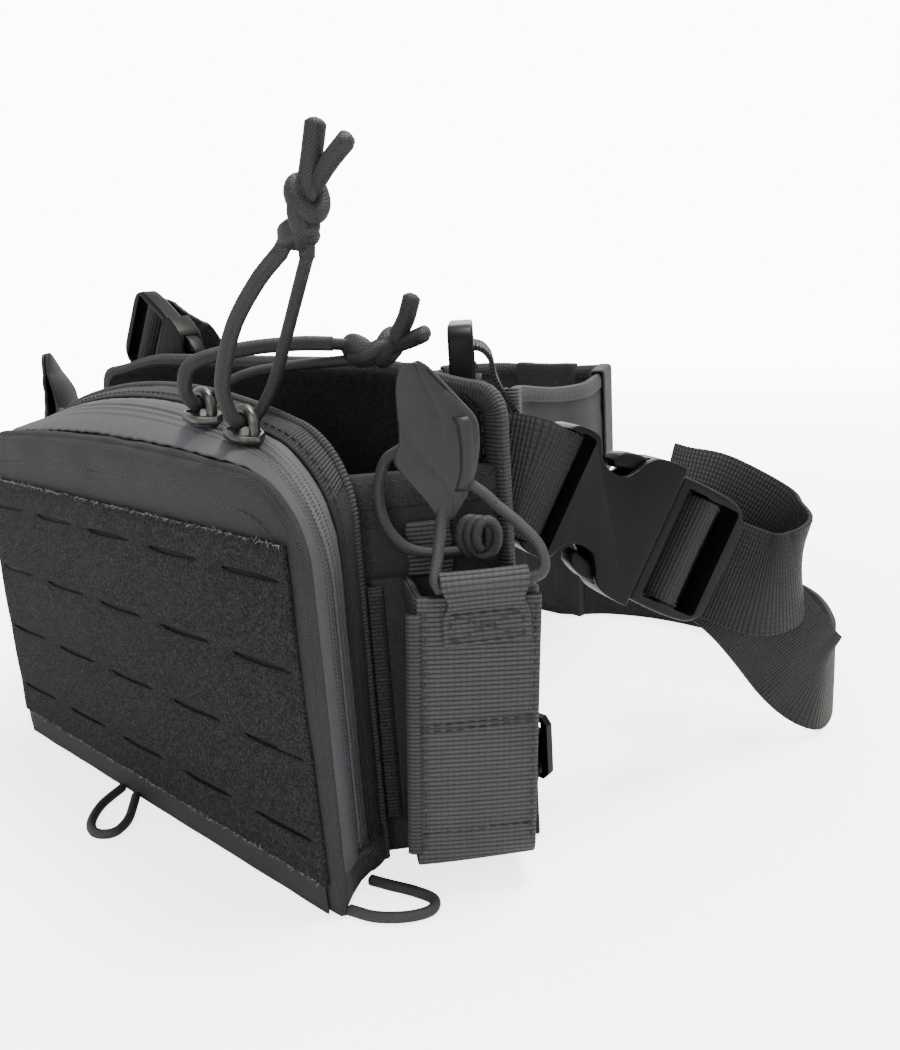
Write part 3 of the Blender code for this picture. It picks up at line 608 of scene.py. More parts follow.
def stitches(name, paths, normal_at, radius=0.26):
    """Short threads lying along each path, raised towards the normal, as one piece."""
    length, gap = 2.3, 0.9
    shape = Shape()
    for path in paths:
        path = [Vector(p) for p in path]
        fine = even(path, 0.5) if len(path) > 2 else [path[0].lerp(path[1], t / 200) for t in range(201)]
        marks = running(fine)
        total = marks[-1]
        count = max(1, int(total / (length + gap)))
        for k in range(count):
            begin = total * k / count
            first, last = (place_on(fine, marks, at) for at in (begin, min(begin + length, total)))
            out = normal_at(first) if callable(normal_at) else Vector(normal_at)
            along = (last - first).normalized()
            side = along.cross(out).normalized()
            rings = []
            for t, size, lift in ((0, 0.35, -0.1), (0.2, 1, 0.7), (0.8, 1, 0.7), (1, 0.35, -0.1)):
                middle = first.lerp(last, t) + out * (radius * lift)
                rings.append([middle + (side * math.cos(a) + out * math.sin(a)) * radius * size
                              for a in (math.pi * 2 * j / 6 for j in range(7))])
            shape.add(*grid(rings))
    return shape.make(name, "thread")


def fuzz(name, spots, normal, count, low, high, width, material, seed, spread=0.9):
    """Thin curled fibres standing on random spots, as one piece."""
    chance = random.Random(seed)
    shape = Shape()
    for _ in range(count):
        root, out = spots(chance), Vector(normal)
        lean = Vector([chance.uniform(-spread, spread) for _ in range(3)])
        reach = chance.uniform(low, high)
        tip = root + (out + lean).normalized() * reach
        bend = root.lerp(tip, 0.55) + Vector([chance.uniform(-0.3, 0.3) * reach for _ in range(3)])
        side = (tip - root).cross(lean + Vector((0.01, 0.02, 0.03))).normalized() * width
        shape.add([root - side, root + side, bend - side, bend + side, tip], [(0, 1, 3, 2), (2, 3, 4)],
                  [(0, 0), (1, 0), (0, 1), (1, 1), (0, 2)])
    return shape.make(name, material)


def arc(centre, radius, start, end, steps):
    angles = [math.radians(start + (end - start) * i / steps) for i in range(steps + 1)]
    return [(centre[0] + radius * math.cos(a), centre[1] + radius * math.sin(a)) for a in angles]


def finish_node(name, material, bevel):
    """Gives a kept CAD node its material, and rounds its edges as the real piece is moulded."""
    obj = frame["nodes"][name]
    if not obj.material_slots:
        obj.data.materials.append(MATERIALS[material])
    for place in obj.material_slots:
        place.link = "OBJECT"
        place.material = MATERIALS[material]
    soften(obj, bevel, 3, 35)


# ---------------------------------------------------------------- the frame's own dimensions

FOLD_X = 84.0
POCKET_FRONT_Y = -31.0
POCKET_TOP = 122.0
PANEL_HALF = 114.0
WING_ANGLE = math.radians(50.0)
POUCH_Y = (-33.3, -48.0, -59.2)
POUCH_HALF = (87.5, 91.0, 98.0)
POUCH_TOP = (145.0, 138.5, 131.0)
POUCH_DROP = (8.0, 7.0, 3.0)
POUCH_RADIUS = (26.0, 36.0, 24.0)
POUCH_REAR_Y, ZIP_Y, POUCH_FRONT_Y = POUCH_Y
ZIP_END_Z = 14.0
TAPE_FRONT, TAPE_REAR = 9.4, 6.6  # how far the tape reaches either side of its middle line
FIELD_HALF = (94.0, 96.5)
FIELD_Z = (13.0, 112.0)
SLOT_LENGTH, SLOT_PITCH_X, ROW_PITCH, FIRST_ROW_Z = 28.0, 39.6, 25.4, 25.3
MAG_LOW, MAG_HIGH, MAG_LEAN = 15.0, 92.0, 5.0
SHOCK_RADIUS = 1.6
CREST = 3.5  # the zip coil's crest over the gusset


def panel_top(x, half=PANEL_HALF, corner=9.0):
    t = min(max((abs(x) - 60.0) / 50.0, 0.0), 1.0)
    high = 151.0 - 6.0 * t * t * (3 - 2 * t)
    over = max(abs(x) - (half - corner), 0.0)
    return high - (corner - math.sqrt(max(corner * corner - over * over, 0.0)))


def between(values, y):
    """The value at depth y of a quantity given at the pouch's rear, middle and front."""
    rear, middle, front = POUCH_Y
    if y > middle:
        t = (y - middle) / (rear - middle)
        return values[1] + (values[0] - values[1]) * t
    t = (y - middle) / (front - middle)
    return values[1] + (values[2] - values[1]) * t


def pouch_outline(y, offset=0.0, low=ZIP_END_Z):
    """The pouch's outline at depth y: up the right side, round the corner, over the crown and down."""
    side_steps, corner_steps, crown_steps = 16, 22, 26
    half = between(POUCH_HALF, y) + offset
    radius = between(POUCH_RADIUS, y) + offset
    drop = between(POUCH_DROP, y)
    top = between(POUCH_TOP, y) + offset
    corner_x, corner_z = half - radius, top - drop - radius
    crown_radius = radius + (corner_x ** 2 + drop ** 2) / (2 * drop)
    slant = math.degrees(math.asin(corner_x / (crown_radius - radius)))
    side = [(half, low + (corner_z - low) * i / side_steps) for i in range(side_steps)]
    corner = arc((corner_x, corner_z), radius, 0, 90 - slant, corner_steps)
    crown = arc((0, top - crown_radius), crown_radius, 90 - slant, 90, crown_steps)[1:]
    right = side + corner + crown
    return right + [(-x, z) for x, z in reversed(right[:-1])]


def pouch_strip(y_offsets, low=ZIP_END_Z, bump=None):
    """Rows along the pouch's outline, one column for each (depth, offset)."""
    runs = [pouch_outline(y, offset, low) for y, offset in y_offsets]
    rows = []
    for i in range(len(runs[0])):
        row = []
        for (y, _), run in zip(y_offsets, runs):
            x, z = run[i]
            point = Vector((x, y, z))
            if bump:
                before, after = run[max(i - 1, 0)], run[min(i + 1, len(run) - 1)]
                out = Vector((after[1] - before[1], 0, before[0] - after[0])).normalized()
                point += out * bump(point)
            row.append(point)
        rows.append(row)
    return rows


def wing(side, s, off, z):
    """A point on an angled end: s along it from the fold, off outwards from its face."""
    cos, sin = math.cos(WING_ANGLE), math.sin(WING_ANGLE)
    return mirror(side, (FOLD_X + s * cos + off * sin, POCKET_FRONT_Y + s * sin - off * cos, z))


def wing_normal(side):
    return mirror(side, (math.sin(WING_ANGLE), -math.cos(WING_ANGLE), 0))


def lean(s, z):
    return s + MAG_LEAN * (z - MAG_LOW) / (MAG_HIGH - MAG_LOW)


class Buckle:
    """A buckle's own axes: x along it from the body's end, y across, z out of its face."""

    def __init__(self, side, origin, x_axis, y_axis, scale):
        self.side, self.origin, self.scale = side, Vector(origin), scale
        self.x = Vector(x_axis).normalized()
        y = Vector(y_axis)
        self.y = (y - self.x * y.dot(self.x)).normalized()
        self.z = self.x.cross(self.y)

    def point(self, x, y, z):
        return mirror(self.side, self.origin + (self.x * x + self.y * y + self.z * z) * self.scale)

    def direction(self, x, y, z):
        return mirror(self.side, self.x * x + self.y * y + self.z * z)


def side_frame(side):
    return Buckle(side, (111.6, 18.6, 114.2), (0.351, 0.788, -0.507), (0.205, 0.464, 0.862), 1.03)


def shoulder_frame(side):
    if side == RIGHT:
        return Buckle(side, (80.0, 24.5, 97.0), (0, 0, 1), (-0.66, 0.75, 0), 0.84)
    return Buckle(side, (46.0, 14.0, 128.5), (0.825, 0, 0.564), (-0.564, 0, 0.825), 0.84)


# ---------------------------------------------------------------- main pocket

def panel_rows(half, low, lift, y, corner, bulge=0.0, seed=0.0, columns=64, levels=30):
    """Rows over the rear panel's outline, in X and Z, from its bottom to its shaped top."""
    rows = []
    for j in range(levels + 1):
        t = j / levels
        row = []
        for i in range(columns + 1):
            x = half * math.sin(math.pi / 2 * (2 * i / columns - 1))
            top = panel_top(x, half, corner) - lift
            over = max(abs(x) - (half - 5), 0.0)
            bottom = low + 5 - math.sqrt(max(25 - over * over, 0))
            z = bottom + (top - bottom) * t
            row.append((x, y + ripple((x, 0, z), 34, bulge, seed), z))
        rows.append(row)
    return rows


def rim_path(half, low, lift, corner):
    """The rear panel's edge as (x, z), starting and ending at the middle of the bottom."""
    rows = panel_rows(half, low, lift, 0.0, corner, columns=120, levels=2)
    right = [Vector((x, z)) for x, _, z in rows[0][60:]]
    top = [Vector((x, z)) for x, _, z in reversed(rows[2])]
    left = [Vector((x, z)) for x, _, z in rows[0][:61]]
    return even(right + top + left, 3.0)


def binding_rows(path, section):
    """Rows of a tape folded over an edge that runs in X and Z. Its section gives (inset, y) pairs."""
    rows = []
    for (x, z), along in zip(path, tangents(path)):
        inward = Vector((-along[1], along[0]))
        rows.append([(x + inward[0] * d, y, z + inward[1] * d) for d, y in section])
    return rows


def rear_panel():
    rows = panel_rows(PANEL_HALF - 0.4, BASE_Z + 0.3, 0.4, 3.3, 9.0, 0.5, 2.0)
    skin("rear_panel_cloth", rows, "cordura", thick=2.6, replaces=("rear_panel",))
    path = rim_path(PANEL_HALF, BASE_Z + 0.7, 0, 9.0)
    front = [(8.5, 1.9), (4.5, 1.3), (1.2, 1.2), (-0.4, 1.9), (-0.8, 3.3), (-0.4, 4.7), (1.2, 5.3),
             (4.5, 5.3), (8.5, 4.8)]
    rows = binding_rows(path, front)
    skin("rear_panel_binding", rows, "webbing_fine", thick=0.5, offset=-1)
    for name, y, out in (("front", 1.25, (0, -1, 0)), ("back", 5.35, (0, 1, 0))):
        run = [Vector(row[0]) for row in binding_rows(path, [(6.6, y)])]
        stitches(f"rear_panel_seam_{name}", [run], out)
    edge = [p for p in path if abs(p[0]) > 112.0]

    def spot(chance):
        x, z = chance.choice(edge)
        return Vector((math.copysign(113.2, x), chance.uniform(1.2, 4.6), z + chance.uniform(-1.5, 1.5)))

    fuzz("rear_panel_fray", spot, (0.6, -0.5, 0.1), 170, 0.5, 1.7, 0.10, "fray", 7)


def rear_lining():
    rows = panel_rows(107.0, BASE_Z + 5, 3.0, 0.9, 8.0, 0.35, 5.0)
    sheet = skin("rear_loop_sheet", rows, "loop_dark", thick=1.2, replaces=("rear_loop_lining",))

    def spot(chance):
        x = chance.uniform(-104, 104)
        return Vector((x, 0.3, panel_top(x, 107, 8) - 4 - 38 * chance.random() ** 2))

    pile = fuzz("rear_loop_fibres", spot, (0, -1, 0.15), 5200, 0.5, 1.4, 0.07, "loop_dark", 11)


def pocket_path(inset):
    """The front panel's line from end to end in X and Y, its folds rounded."""
    end_y = 1.4
    reach = (end_y - POCKET_FRONT_Y) / math.tan(WING_ANGLE)
    half = [(FOLD_X + reach * (1 - t) + 1.6 * t, end_y + (POCKET_FRONT_Y + 1.9 - end_y) * t)
            for t in (i / 15 for i in range(16))]
    half += [(FOLD_X + 0.4, POCKET_FRONT_Y + 0.6), (FOLD_X - 1.6, POCKET_FRONT_Y)]
    half += [(FOLD_X - 1.6 - (FOLD_X - 1.6) * i / 10, POCKET_FRONT_Y) for i in range(1, 11)]
    path = half + [(-x, y) for x, y in reversed(half[:-1])]
    return [(x - along[1] * inset, y + along[0] * inset)
            for (x, y), along in zip(path, tangents([Vector(p) for p in path]))]


def pocket_rows(inset, low, high, levels, bulge=0.0, seed=0.0):
    rows = []
    for j in range(levels + 1):
        z = low + (high - low) * j / levels
        rows.append([(x, y - ripple((x, y, z), 30, bulge, seed), z) for x, y in pocket_path(inset)])
    return rows


def front_panel():
    shape = Shape().add(*grid(pocket_rows(-1.0, BASE_Z, POCKET_TOP, 36, 0.5, 3.0)))
    floor = pocket_path(-1.2)
    half = floor[:len(floor) // 2 + 1]
    shape.add(*grid([[(x * (1 - k / 6), y, BASE_Z + 1.3) for k in range(13)] for x, y in half]))
    shape.make("front_panel_cloth", "cordura", thick=1.8, replaces=("front_panel",))
    section = ((112.5, 0.15), (113.2, 0.45), (121.8, 0.45), (122.6, -1.0), (121.8, -2.45),
               (113.2, -2.45), (112.5, -2.1))
    hem = [[(x, y, z) for x, y in pocket_path(inset)] for z, inset in section]
    skin("front_panel_hem", hem, "cordura", thick=0.4)
    for side, name in SIDES.items():
        out = wing_normal(side)
        rows = [[wing(side, s, 0.75, z) for s in range(2, 48, 3)] for z in (120.3, 114.6)]
        rows += [[wing(side, s, 0.4, z) for z in range(3, 112, 4)] for s in (1.6, 4.4)]
        rows += [[wing(side, s, 0.35, 107.5) for s in range(5, 48, 3)]]
        stitches(f"wing_seams_{name}", rows, out)


# ---------------------------------------------------------------- zipped pouch

def pouch_wrinkle(point):
    return ripple(point, 17, 0.9, 1.0) + ripple(point, 7, 0.3, 4.0)


def pouch_gusset():
    depths = [POUCH_REAR_Y, -36, -39, -42, -46, -50, -54, -56.5, -58.2, POUCH_FRONT_Y]
    rows = pouch_strip([(y, -0.9) for y in depths], BASE_Z + 0.5)
    skin("pouch_gusset_cloth", rows, "cordura", thick=1.6, replaces=("zip_pouch_gusset",))
    floor = [[(x, y, BASE_Z + 1.0) for x in range(-86, 87, 4)] for y in depths]
    skin("pouch_floor", floor, "cordura", thick=1.6)
    band = [(-33.6, 0.3), (-34.2, 0.9), (-37.0, 1.2), (-40.0, 0.9), (-40.8, 0.4)]
    rows = pouch_strip(band, BASE_Z + 1, lambda p: 0.35 * pouch_wrinkle(p))
    top = [row for row in rows if row[0][2] > 121]
    skin("pouch_top_band", top, "webbing_fine", thick=0.5)
    for side, name in SIDES.items():
        low = [row for row in rows if row[0][2] < 123 and row[0][0] * side > 0]
        skin(f"pouch_side_band_{name}", low, "cordura", thick=0.5)
    edge = [row[0] for row in pouch_strip([(-40.9, 1.4)], ZIP_END_Z)]
    tube_piece("zip_rear_piping", even(edge, 1.5), 0.55, "lining", sides=8)
    run = [row[0] for row in pouch_strip([(-38.6, 1.6)], BASE_Z + 3)]
    stitches("pouch_band_seam", [run], lambda p: Vector((p[0] * 0.004, 0, 1)).normalized())
    piping = [row[0] for row in pouch_strip([(-33.0, 0.6)], BASE_Z + 1)]
    tube_piece("pouch_rear_piping", even(piping, 1.5), 1.35, "webbing_fine", sides=10)
    edge = [row[0] for row in pouch_strip([(-58.9, 0.5)], BASE_Z + 1)]
    wobble = [p + Vector((ripple(p, 12, 0.5, 2.0), 0, ripple(p, 12, 0.6, 9.0))) for p in even(edge, 1.5)]
    tube_piece("pouch_front_piping", wobble, 1.3, "cordura", sides=10)


def zip_tape():
    """The reversed coil: wide smooth tape in front, a sunk seam, narrower tape behind."""
    section = []
    u_places = []
    for i in range(25):
        t = i / 24
        u = -TAPE_FRONT + (TAPE_FRONT + TAPE_REAR) * t
        side = u / TAPE_FRONT if u < 0 else u / TAPE_REAR
        lift = 1.2 + 1.9 * (1 - abs(side) ** 1.8)
        if abs(u) < 0.4:
            lift -= 0.5
        section.append((ZIP_Y + u, lift))
        u_places.append(u)

    def bump(point):
        away = min(abs(point[1] - ZIP_Y) / TAPE_FRONT, 1.0)
        return (pouch_wrinkle(point) * 0.5 + 0.3 * math.sin(point[0] * 0.9 + point[2])) * away ** 3

    rows = pouch_strip(section, ZIP_END_Z, bump)
    Shape().add(*grid(rows, u_places)).make("zip_tape", "tape", thick=0.6, offset=-1,
                                            replaces=("zip_chain",))
    for side, name in SIDES.items():
        seam = ((92.6, -41), (94.1, -44), (94.4, -48), (94.7, -52), (93.8, -55))
        path = [mirror(side, (x, y, ZIP_END_Z + 0.6)) for x, y in seam]
        tube_piece(f"zip_end_seam_{name}", catmull(path, 4), 0.8, "thread", sides=8)
        patch = [[mirror(side, (between(POUCH_HALF, y) + o, y, z)) for y in (-34.5, -40, -46, -52, -57.5)]
                 for z, o in ((3.0, 0.2), (5.0, 0.9), (9.0, 1.3), (13.6, 1.4), (15.6, 1.1))]
        skin(f"zip_corner_patch_{name}", patch, "webbing_fine", thick=0.6)


def pouch_front():
    """The front panel of the pouch: its top edge rolls back to the zip, and its cloth is soft."""
    rim = pouch_outline(POUCH_FRONT_Y, 0.2, BASE_Z + 1.0)
    bottom = [(-97.6 + 195.2 * i / 40, BASE_Z + 0.8) for i in range(1, 40)]
    loop = [Vector(p) for p in rim + bottom]
    centre = Vector((0, 62))
    rows = []
    for depth, share in ((-57.6, 1.0), (-58.6, 1.006), (-60.0, 1.0), (-60.9, 0.985), (-61.2, 0.96),
                         (-61.3, 0.92), (-61.3, 0.86), (-61.2, 0.78), (-61.1, 0.6), (-61.1, 0.3)):
        row = []
        for p in [*loop, loop[0]]:
            flat = centre + (p - centre) * share
            away = min(1.0, 25 * abs(1 - share))
            swell = -ripple((flat[0], 0, flat[1]), 19, 0.9, 6.0) * away if share > 0.8 else 0.0
            row.append((flat[0], depth + min(swell, 0.35), flat[1]))
        rows.append(row)
    facing_shape(rows).make("pouch_front_cloth", "cordura", replaces=("zip_pouch_front",), thick=0.8)
    run = [(x, -61.6, z - 6.5) for x, z in pouch_outline(POUCH_FRONT_Y, -3.0, 60) if z > 118]
    stitches("pouch_front_seam", [run], (0, -1, 0), radius=0.2)
    rows = [[(-95.0 + 190 * i / 60, -61.9 - 0.25 * (z > 5), z + ripple((i * 3, 0, z), 14, 0.3))
             for i in range(61)] for z in (3.0, 5.0, 8.0, 11.6, 12.4)]
    skin("pouch_lower_strip", rows, "cordura", thick=0.6)


def pouch_back():
    rows = []
    for share in (1.0, 0.9, 0.6, 0.3, 0.0):
        rim = pouch_outline(POUCH_REAR_Y, -0.4, BASE_Z + 1)
        rows.append([(x * (0.2 + 0.8 * share), -32.2, 60 + (z - 60) * share) for x, z in rim])
    facing_shape(rows).make("pouch_back_cloth", "cordura", thick=1.4, replaces=("zip_pouch_back",))
    low = [[(-87 + 8.7 * i, -32.2, z) for i in range(21)] for z in (BASE_Z + 0.8, 30, 60)]
    skin("pouch_back_lower", low, "cordura", thick=1.3)


def slot_edge(x, column, high):
    """How far a slot's upper or lower edge strays from its line, at X within the slot."""
    t = (x - column * SLOT_PITCH_X) / (SLOT_LENGTH / 2)
    if abs(t) >= 1:
        return 0.0
    belly = (1 - t * t) ** 0.5
    swing = 0.5 * ripple((column * 31, high * 7, 0), 3, 1.0)
    if high:
        return belly * (0.75 + 0.25 * t)
    return belly * (-0.85 + 0.5 * t + swing * 0.6)


def loop_field():
    low, high = FIELD_Z
    x_marks = sorted({round(c * SLOT_PITCH_X + SLOT_LENGTH / 2 * k / 7, 3) for c in range(-2, 3)
                      for k in range(-7, 8)} | {-96.5, -94.9, 96.5, 94.9} |
                     {round((c + 0.5) * SLOT_PITCH_X + d, 3) for c in range(-2, 2) for d in (-2.5, 0, 2.5)})
    columns = {j for c in range(-2, 3) for j, (a, b) in enumerate(zip(x_marks, x_marks[1:]))
               if abs((a + b) / 2 - c * SLOT_PITCH_X) < SLOT_LENGTH / 2}
    levels = [(low, None), (low + 3.0, None)]
    for row in range(4):
        z = FIRST_ROW_Z + row * ROW_PITCH
        if row:
            levels += [(z - 19.0, None), (z - 12.7, None), (z - 6.5, None)]
        else:
            levels += [(z - 6.0, None)]
        levels += [(z - 2.4, None), (z - 0.12, 0), (z + 0.12, 1), (z + 2.4, None)]
    levels += [(FIRST_ROW_Z + 3 * ROW_PITCH + 6, None), (high, None)]
    rows, gaps = [], set()
    for i, (z, edge) in enumerate(levels):
        row = []
        share = (z - low) / (high - low)
        for x in x_marks:
            stray = 0.0
            if edge is not None:
                column = min(max(round(x / SLOT_PITCH_X), -2), 2)
                stray = slot_edge(x, column, edge)
            half = FIELD_HALF[1] + (FIELD_HALF[0] - FIELD_HALF[1]) * share
            puff = 0.28 * math.sin(math.pi * ((z - FIRST_ROW_Z) / ROW_PITCH % 1)) - 0.14
            ragged = ripple((x, 0, z), 2.5, 0.5) if i in (0, len(levels) - 1) else 0.0
            row.append((x * half / FIELD_HALF[1], -62.2 - puff + ripple((x, 0, z), 22, 0.25, 8.0),
                        z + stray + ragged))
        rows.append(row)
        if edge == 0:
            gaps.add(i)
    field = facing_shape(rows, lambda i, j: i in gaps and j in columns).make(
        "loop_field_sheet", "loop", thick=1.1, replaces=("loop_field",))
    # A dark sheet just behind the loop field: it paints the shade seen through the slots.
    dark = [[(x, -61.55, z) for x in (-93, 0, 93)] for z in (16, 108)]
    skin("loop_field_slot_shade", dark, "lining", thick=0.2)

    def spot(chance):
        while True:
            x, z = chance.uniform(-95, 95), chance.uniform(low + 0.5, high - 0.5)
            near = abs((z - FIRST_ROW_Z + ROW_PITCH / 2) % ROW_PITCH - ROW_PITCH / 2)
            beside = abs((x + SLOT_PITCH_X / 2) % SLOT_PITCH_X - SLOT_PITCH_X / 2)
            if near > 1.7 or beside > 14:
                return Vector((x, -62.8, z))

    pile = fuzz("loop_field_fibres", spot, (0, -1, 0), 9000, 0.35, 0.95, 0.075, "loop", 21, spread=1.6)

    def rim(chance):
        x = chance.uniform(-95, 95)
        return Vector((x, -62.9, high if chance.random() < 0.5 else low))

    ends = fuzz("loop_field_fray", rim, (0, -0.6, 0), 900, 0.4, 1.5, 0.08, "fray", 23)


# ---------------------------------------------------------------- sliders and cord pulls

def coil_frame(x):
    """Point, run direction and outward direction on the coil's crest at the top run, at rig X."""
    path = pouch_outline(ZIP_Y, CREST)
    for (x0, z0), (x1, z1) in zip(path, path[1:]):
        if x1 <= x <= x0 and z0 > POUCH_TOP[1] / 2:
            t = (x0 - x) / (x0 - x1)
            run = Vector((x1 - x0, 0, z1 - z0)).normalized()
            return Vector((x, ZIP_Y, z0 + (z1 - z0) * t)), run, Vector((run.z, 0, -run.x))
    raise ValueError("no zip at this X")


SLIDER_X = {"right": 61.7, "left": 42.0}
PULL_ROUTES = {
    "right": {
        "front": [(63.6, -53.6, 144.4), (66.0, -55.8, 152.0), (74.0, -55.8, 166.0),
                  (84.0, -54.0, 177.0), (92.3, -52.4, 183.4)],
        "back": [(65.0, -42.4, 144.0), (69.5, -41.0, 151.0), (79.5, -42.6, 164.0),
                 (90.0, -45.4, 175.6), (97.0, -47.7, 182.4)],
    },
    "left": {
        "front": [(43.6, -53.8, 149.0), (47.0, -52.0, 156.0), (55.0, -40.4, 158.8),
                  (64.0, -27.9, 159.2), (70.0, -19.8, 158.4)],
        "back": [(45.6, -42.2, 148.0), (51.0, -37.0, 151.2), (59.0, -28.5, 152.6),
                 (67.0, -20.0, 153.0), (71.6, -16.2, 153.2)],
    },
}
KNOTS = {
    "right": ((101.0, -50.0, 194.0), (0.50, -0.02, 0.86), [(107.5, -50.0, 211.0), (117.5, -50.0, 206.0)]),
    "left": ((79.5, -8.6, 156.0), (0.62, 0.70, 0.06), [(90.0, -6.0, 170.0), (95.0, -7.0, 160.0)]),
}


def slider(name):
    """A pointed plate over the tape with raised edges, and a dome bridge that holds the cord."""
    foot, run, out = coil_frame(SLIDER_X[name])
    run = -run

    def place(a, y, h):
        return foot + run * a + Vector((0, y, 0)) + out * (h + 0.6)

    rim = [(-5.6, 0), (-5.2, -3.4), (-3.6, -4.9), (1.6, -4.9), (4.0, -4.0), (6.9, 0.0), (4.0, 4.0),
           (1.6, 4.9), (-3.6, 4.9), (-5.2, 3.4), (-5.6, 0)]
    rows = [[place(a * s, y * s, h) for a, y in rim]
            for s, h in ((0.0, -0.4), (0.93, -0.4), (1.0, 0.1), (1.0, 1.5), (0.95, 2.1), (0.84, 2.2),
                         (0.78, 1.7), (0.0, 1.6))]
    shape = Shape().add(*grid(rows))
    under = [[place(a * s, y * s * 0.8, h) for a, y in rim]
             for s, h in ((0.0, -1.3), (0.8, -1.3), (0.85, -0.3))]
    shape.add(*grid(under))
    body = f"zip_slider_{name}"
    shape.make(f"{name}_slider_plate", "metal", body, replaces=(f"zip_slider_{name}",), sharp=50)
    bridge = [place(a, 0, h) for a, h in ((-4.2, 1.4), (-4.3, 4.2), (-3.0, 7.0), (0, 8.2), (3.0, 7.0),
                                          (4.3, 4.2), (4.2, 1.4))]
    tube_piece(f"{name}_slider_bridge", even(catmull(bridge, 8), 0.7), 1.55, "metal", body)


def strand_ends(name):
    return [Vector(PULL_ROUTES[name][label][-1]) for label in ("front", "back")]


def knot(name):
    """A double overhand knot: two tight turns, one above the other, and the strands' cut ends."""
    centre, axis, tips = KNOTS[name]
    centre, axis = Vector(centre), Vector(axis).normalized()
    facing = Vector((0.69, -0.72, 0))
    across = (facing - axis * axis.dot(facing)).normalized()
    third = axis.cross(across)
    shape = Shape()
    for shift, rise, phase, wide in ((-7.2, 2.3, 0.4, 2.5), (1.5, -2.5, 2.9, 2.9)):
        path = []
        for i in range(45):
            t = i / 44
            angle = phase + 2.6 * math.pi * t
            tucked = wide * min(1.0, 0.25 + 4 * t, 0.25 + 4 * (1 - t))
            path.append(centre + across * (tucked * math.cos(angle)) + third * (tucked * math.sin(angle))
                        + axis * (shift + rise * math.sin(angle + 0.7) + 2.2 * (t - 0.5)))
        shape.add(*tube_shape(path, 3.15, 18, lobes=flattened))
    bow = [centre - axis * 9.5 + third * 1.0, centre - axis * 5.0 + across * 3.6 + third * 0.8,
           centre - axis * 0.5 + across * 3.7 - third * 1.2, centre + axis * 4.5 - third * 1.4]
    shape.add(*tube_shape(even(catmull(bow, 8), 0.9), 2.5, 16, lobes=flattened))
    for end in strand_ends(name):
        run_in = [end - axis * 0.4, end.lerp(centre, 0.4), centre - axis * 4.0]
        shape.add(*tube_shape(even(catmull(run_in, 6), 0.9), 2.05, 16, flat=0.9, lobes=flattened))
    for i, tip in enumerate(tips):
        tip = Vector(tip)
        root = centre + axis * 1.5 + across * (1.4 * (1 - 2 * i))
        bend = (root + tip) / 2 + axis * 1.2
        path = even(catmull([root, bend, tip], 8), 0.9)
        shape.add(*tube_shape(path, 2.6, 16, lobes=flattened))
    return shape.make(f"{name}_pull_knot", "pull_cord", f"zip_slider_{name}",
                      replaces=(f"pull_knot_{name}",))


def pulls():
    for name in ("right", "left"):
        slider(name)
        tied = knot(name)
        foot, _, out = coil_frame(SLIDER_X[name])
        eye = foot + out * (0.6 + 5.1)
        for label, sign in (("front", -1), ("back", 1)):
            points = [eye + Vector((0, sign * reach, 0)) for reach in (0.7, 3.0)]
            path = even(catmull([*points, *PULL_ROUTES[name][label]], 10), 1.2)
            shape = Shape().add(*tube_shape(path, 2.15, 16, flat=0.86, lobes=flattened))
            strand = shape.make(f"{name}_pull_{label}", "pull_cord", f"zip_slider_{name}",
                                replaces=(f"pull_cord_{name}_{label}",))
            free_cord(strand, path, 2.1, "knot", with_pieces=(tied,) if label == "front" else ())


# ---------------------------------------------------------------- angled ends

def rounded_run(points, radius):
    """A path through points whose inner corners are rounded."""
    steps = 4
    points = [Vector(p) for p in points]
    path = [points[0]]
    for a, b, c in zip(points, points[1:], points[2:]):
        r = min(radius, (b - a).length / 2.2, (c - b).length / 2.2)
        start, end = b + (a - b).normalized() * r, b + (c - b).normalized() * r
        for i in range(steps + 1):
            t = i / steps
            path.append((start * (1 - t) + b * t) * (1 - t) + (b * (1 - t) + end * t) * t)
    path.append(points[-1])
    return path


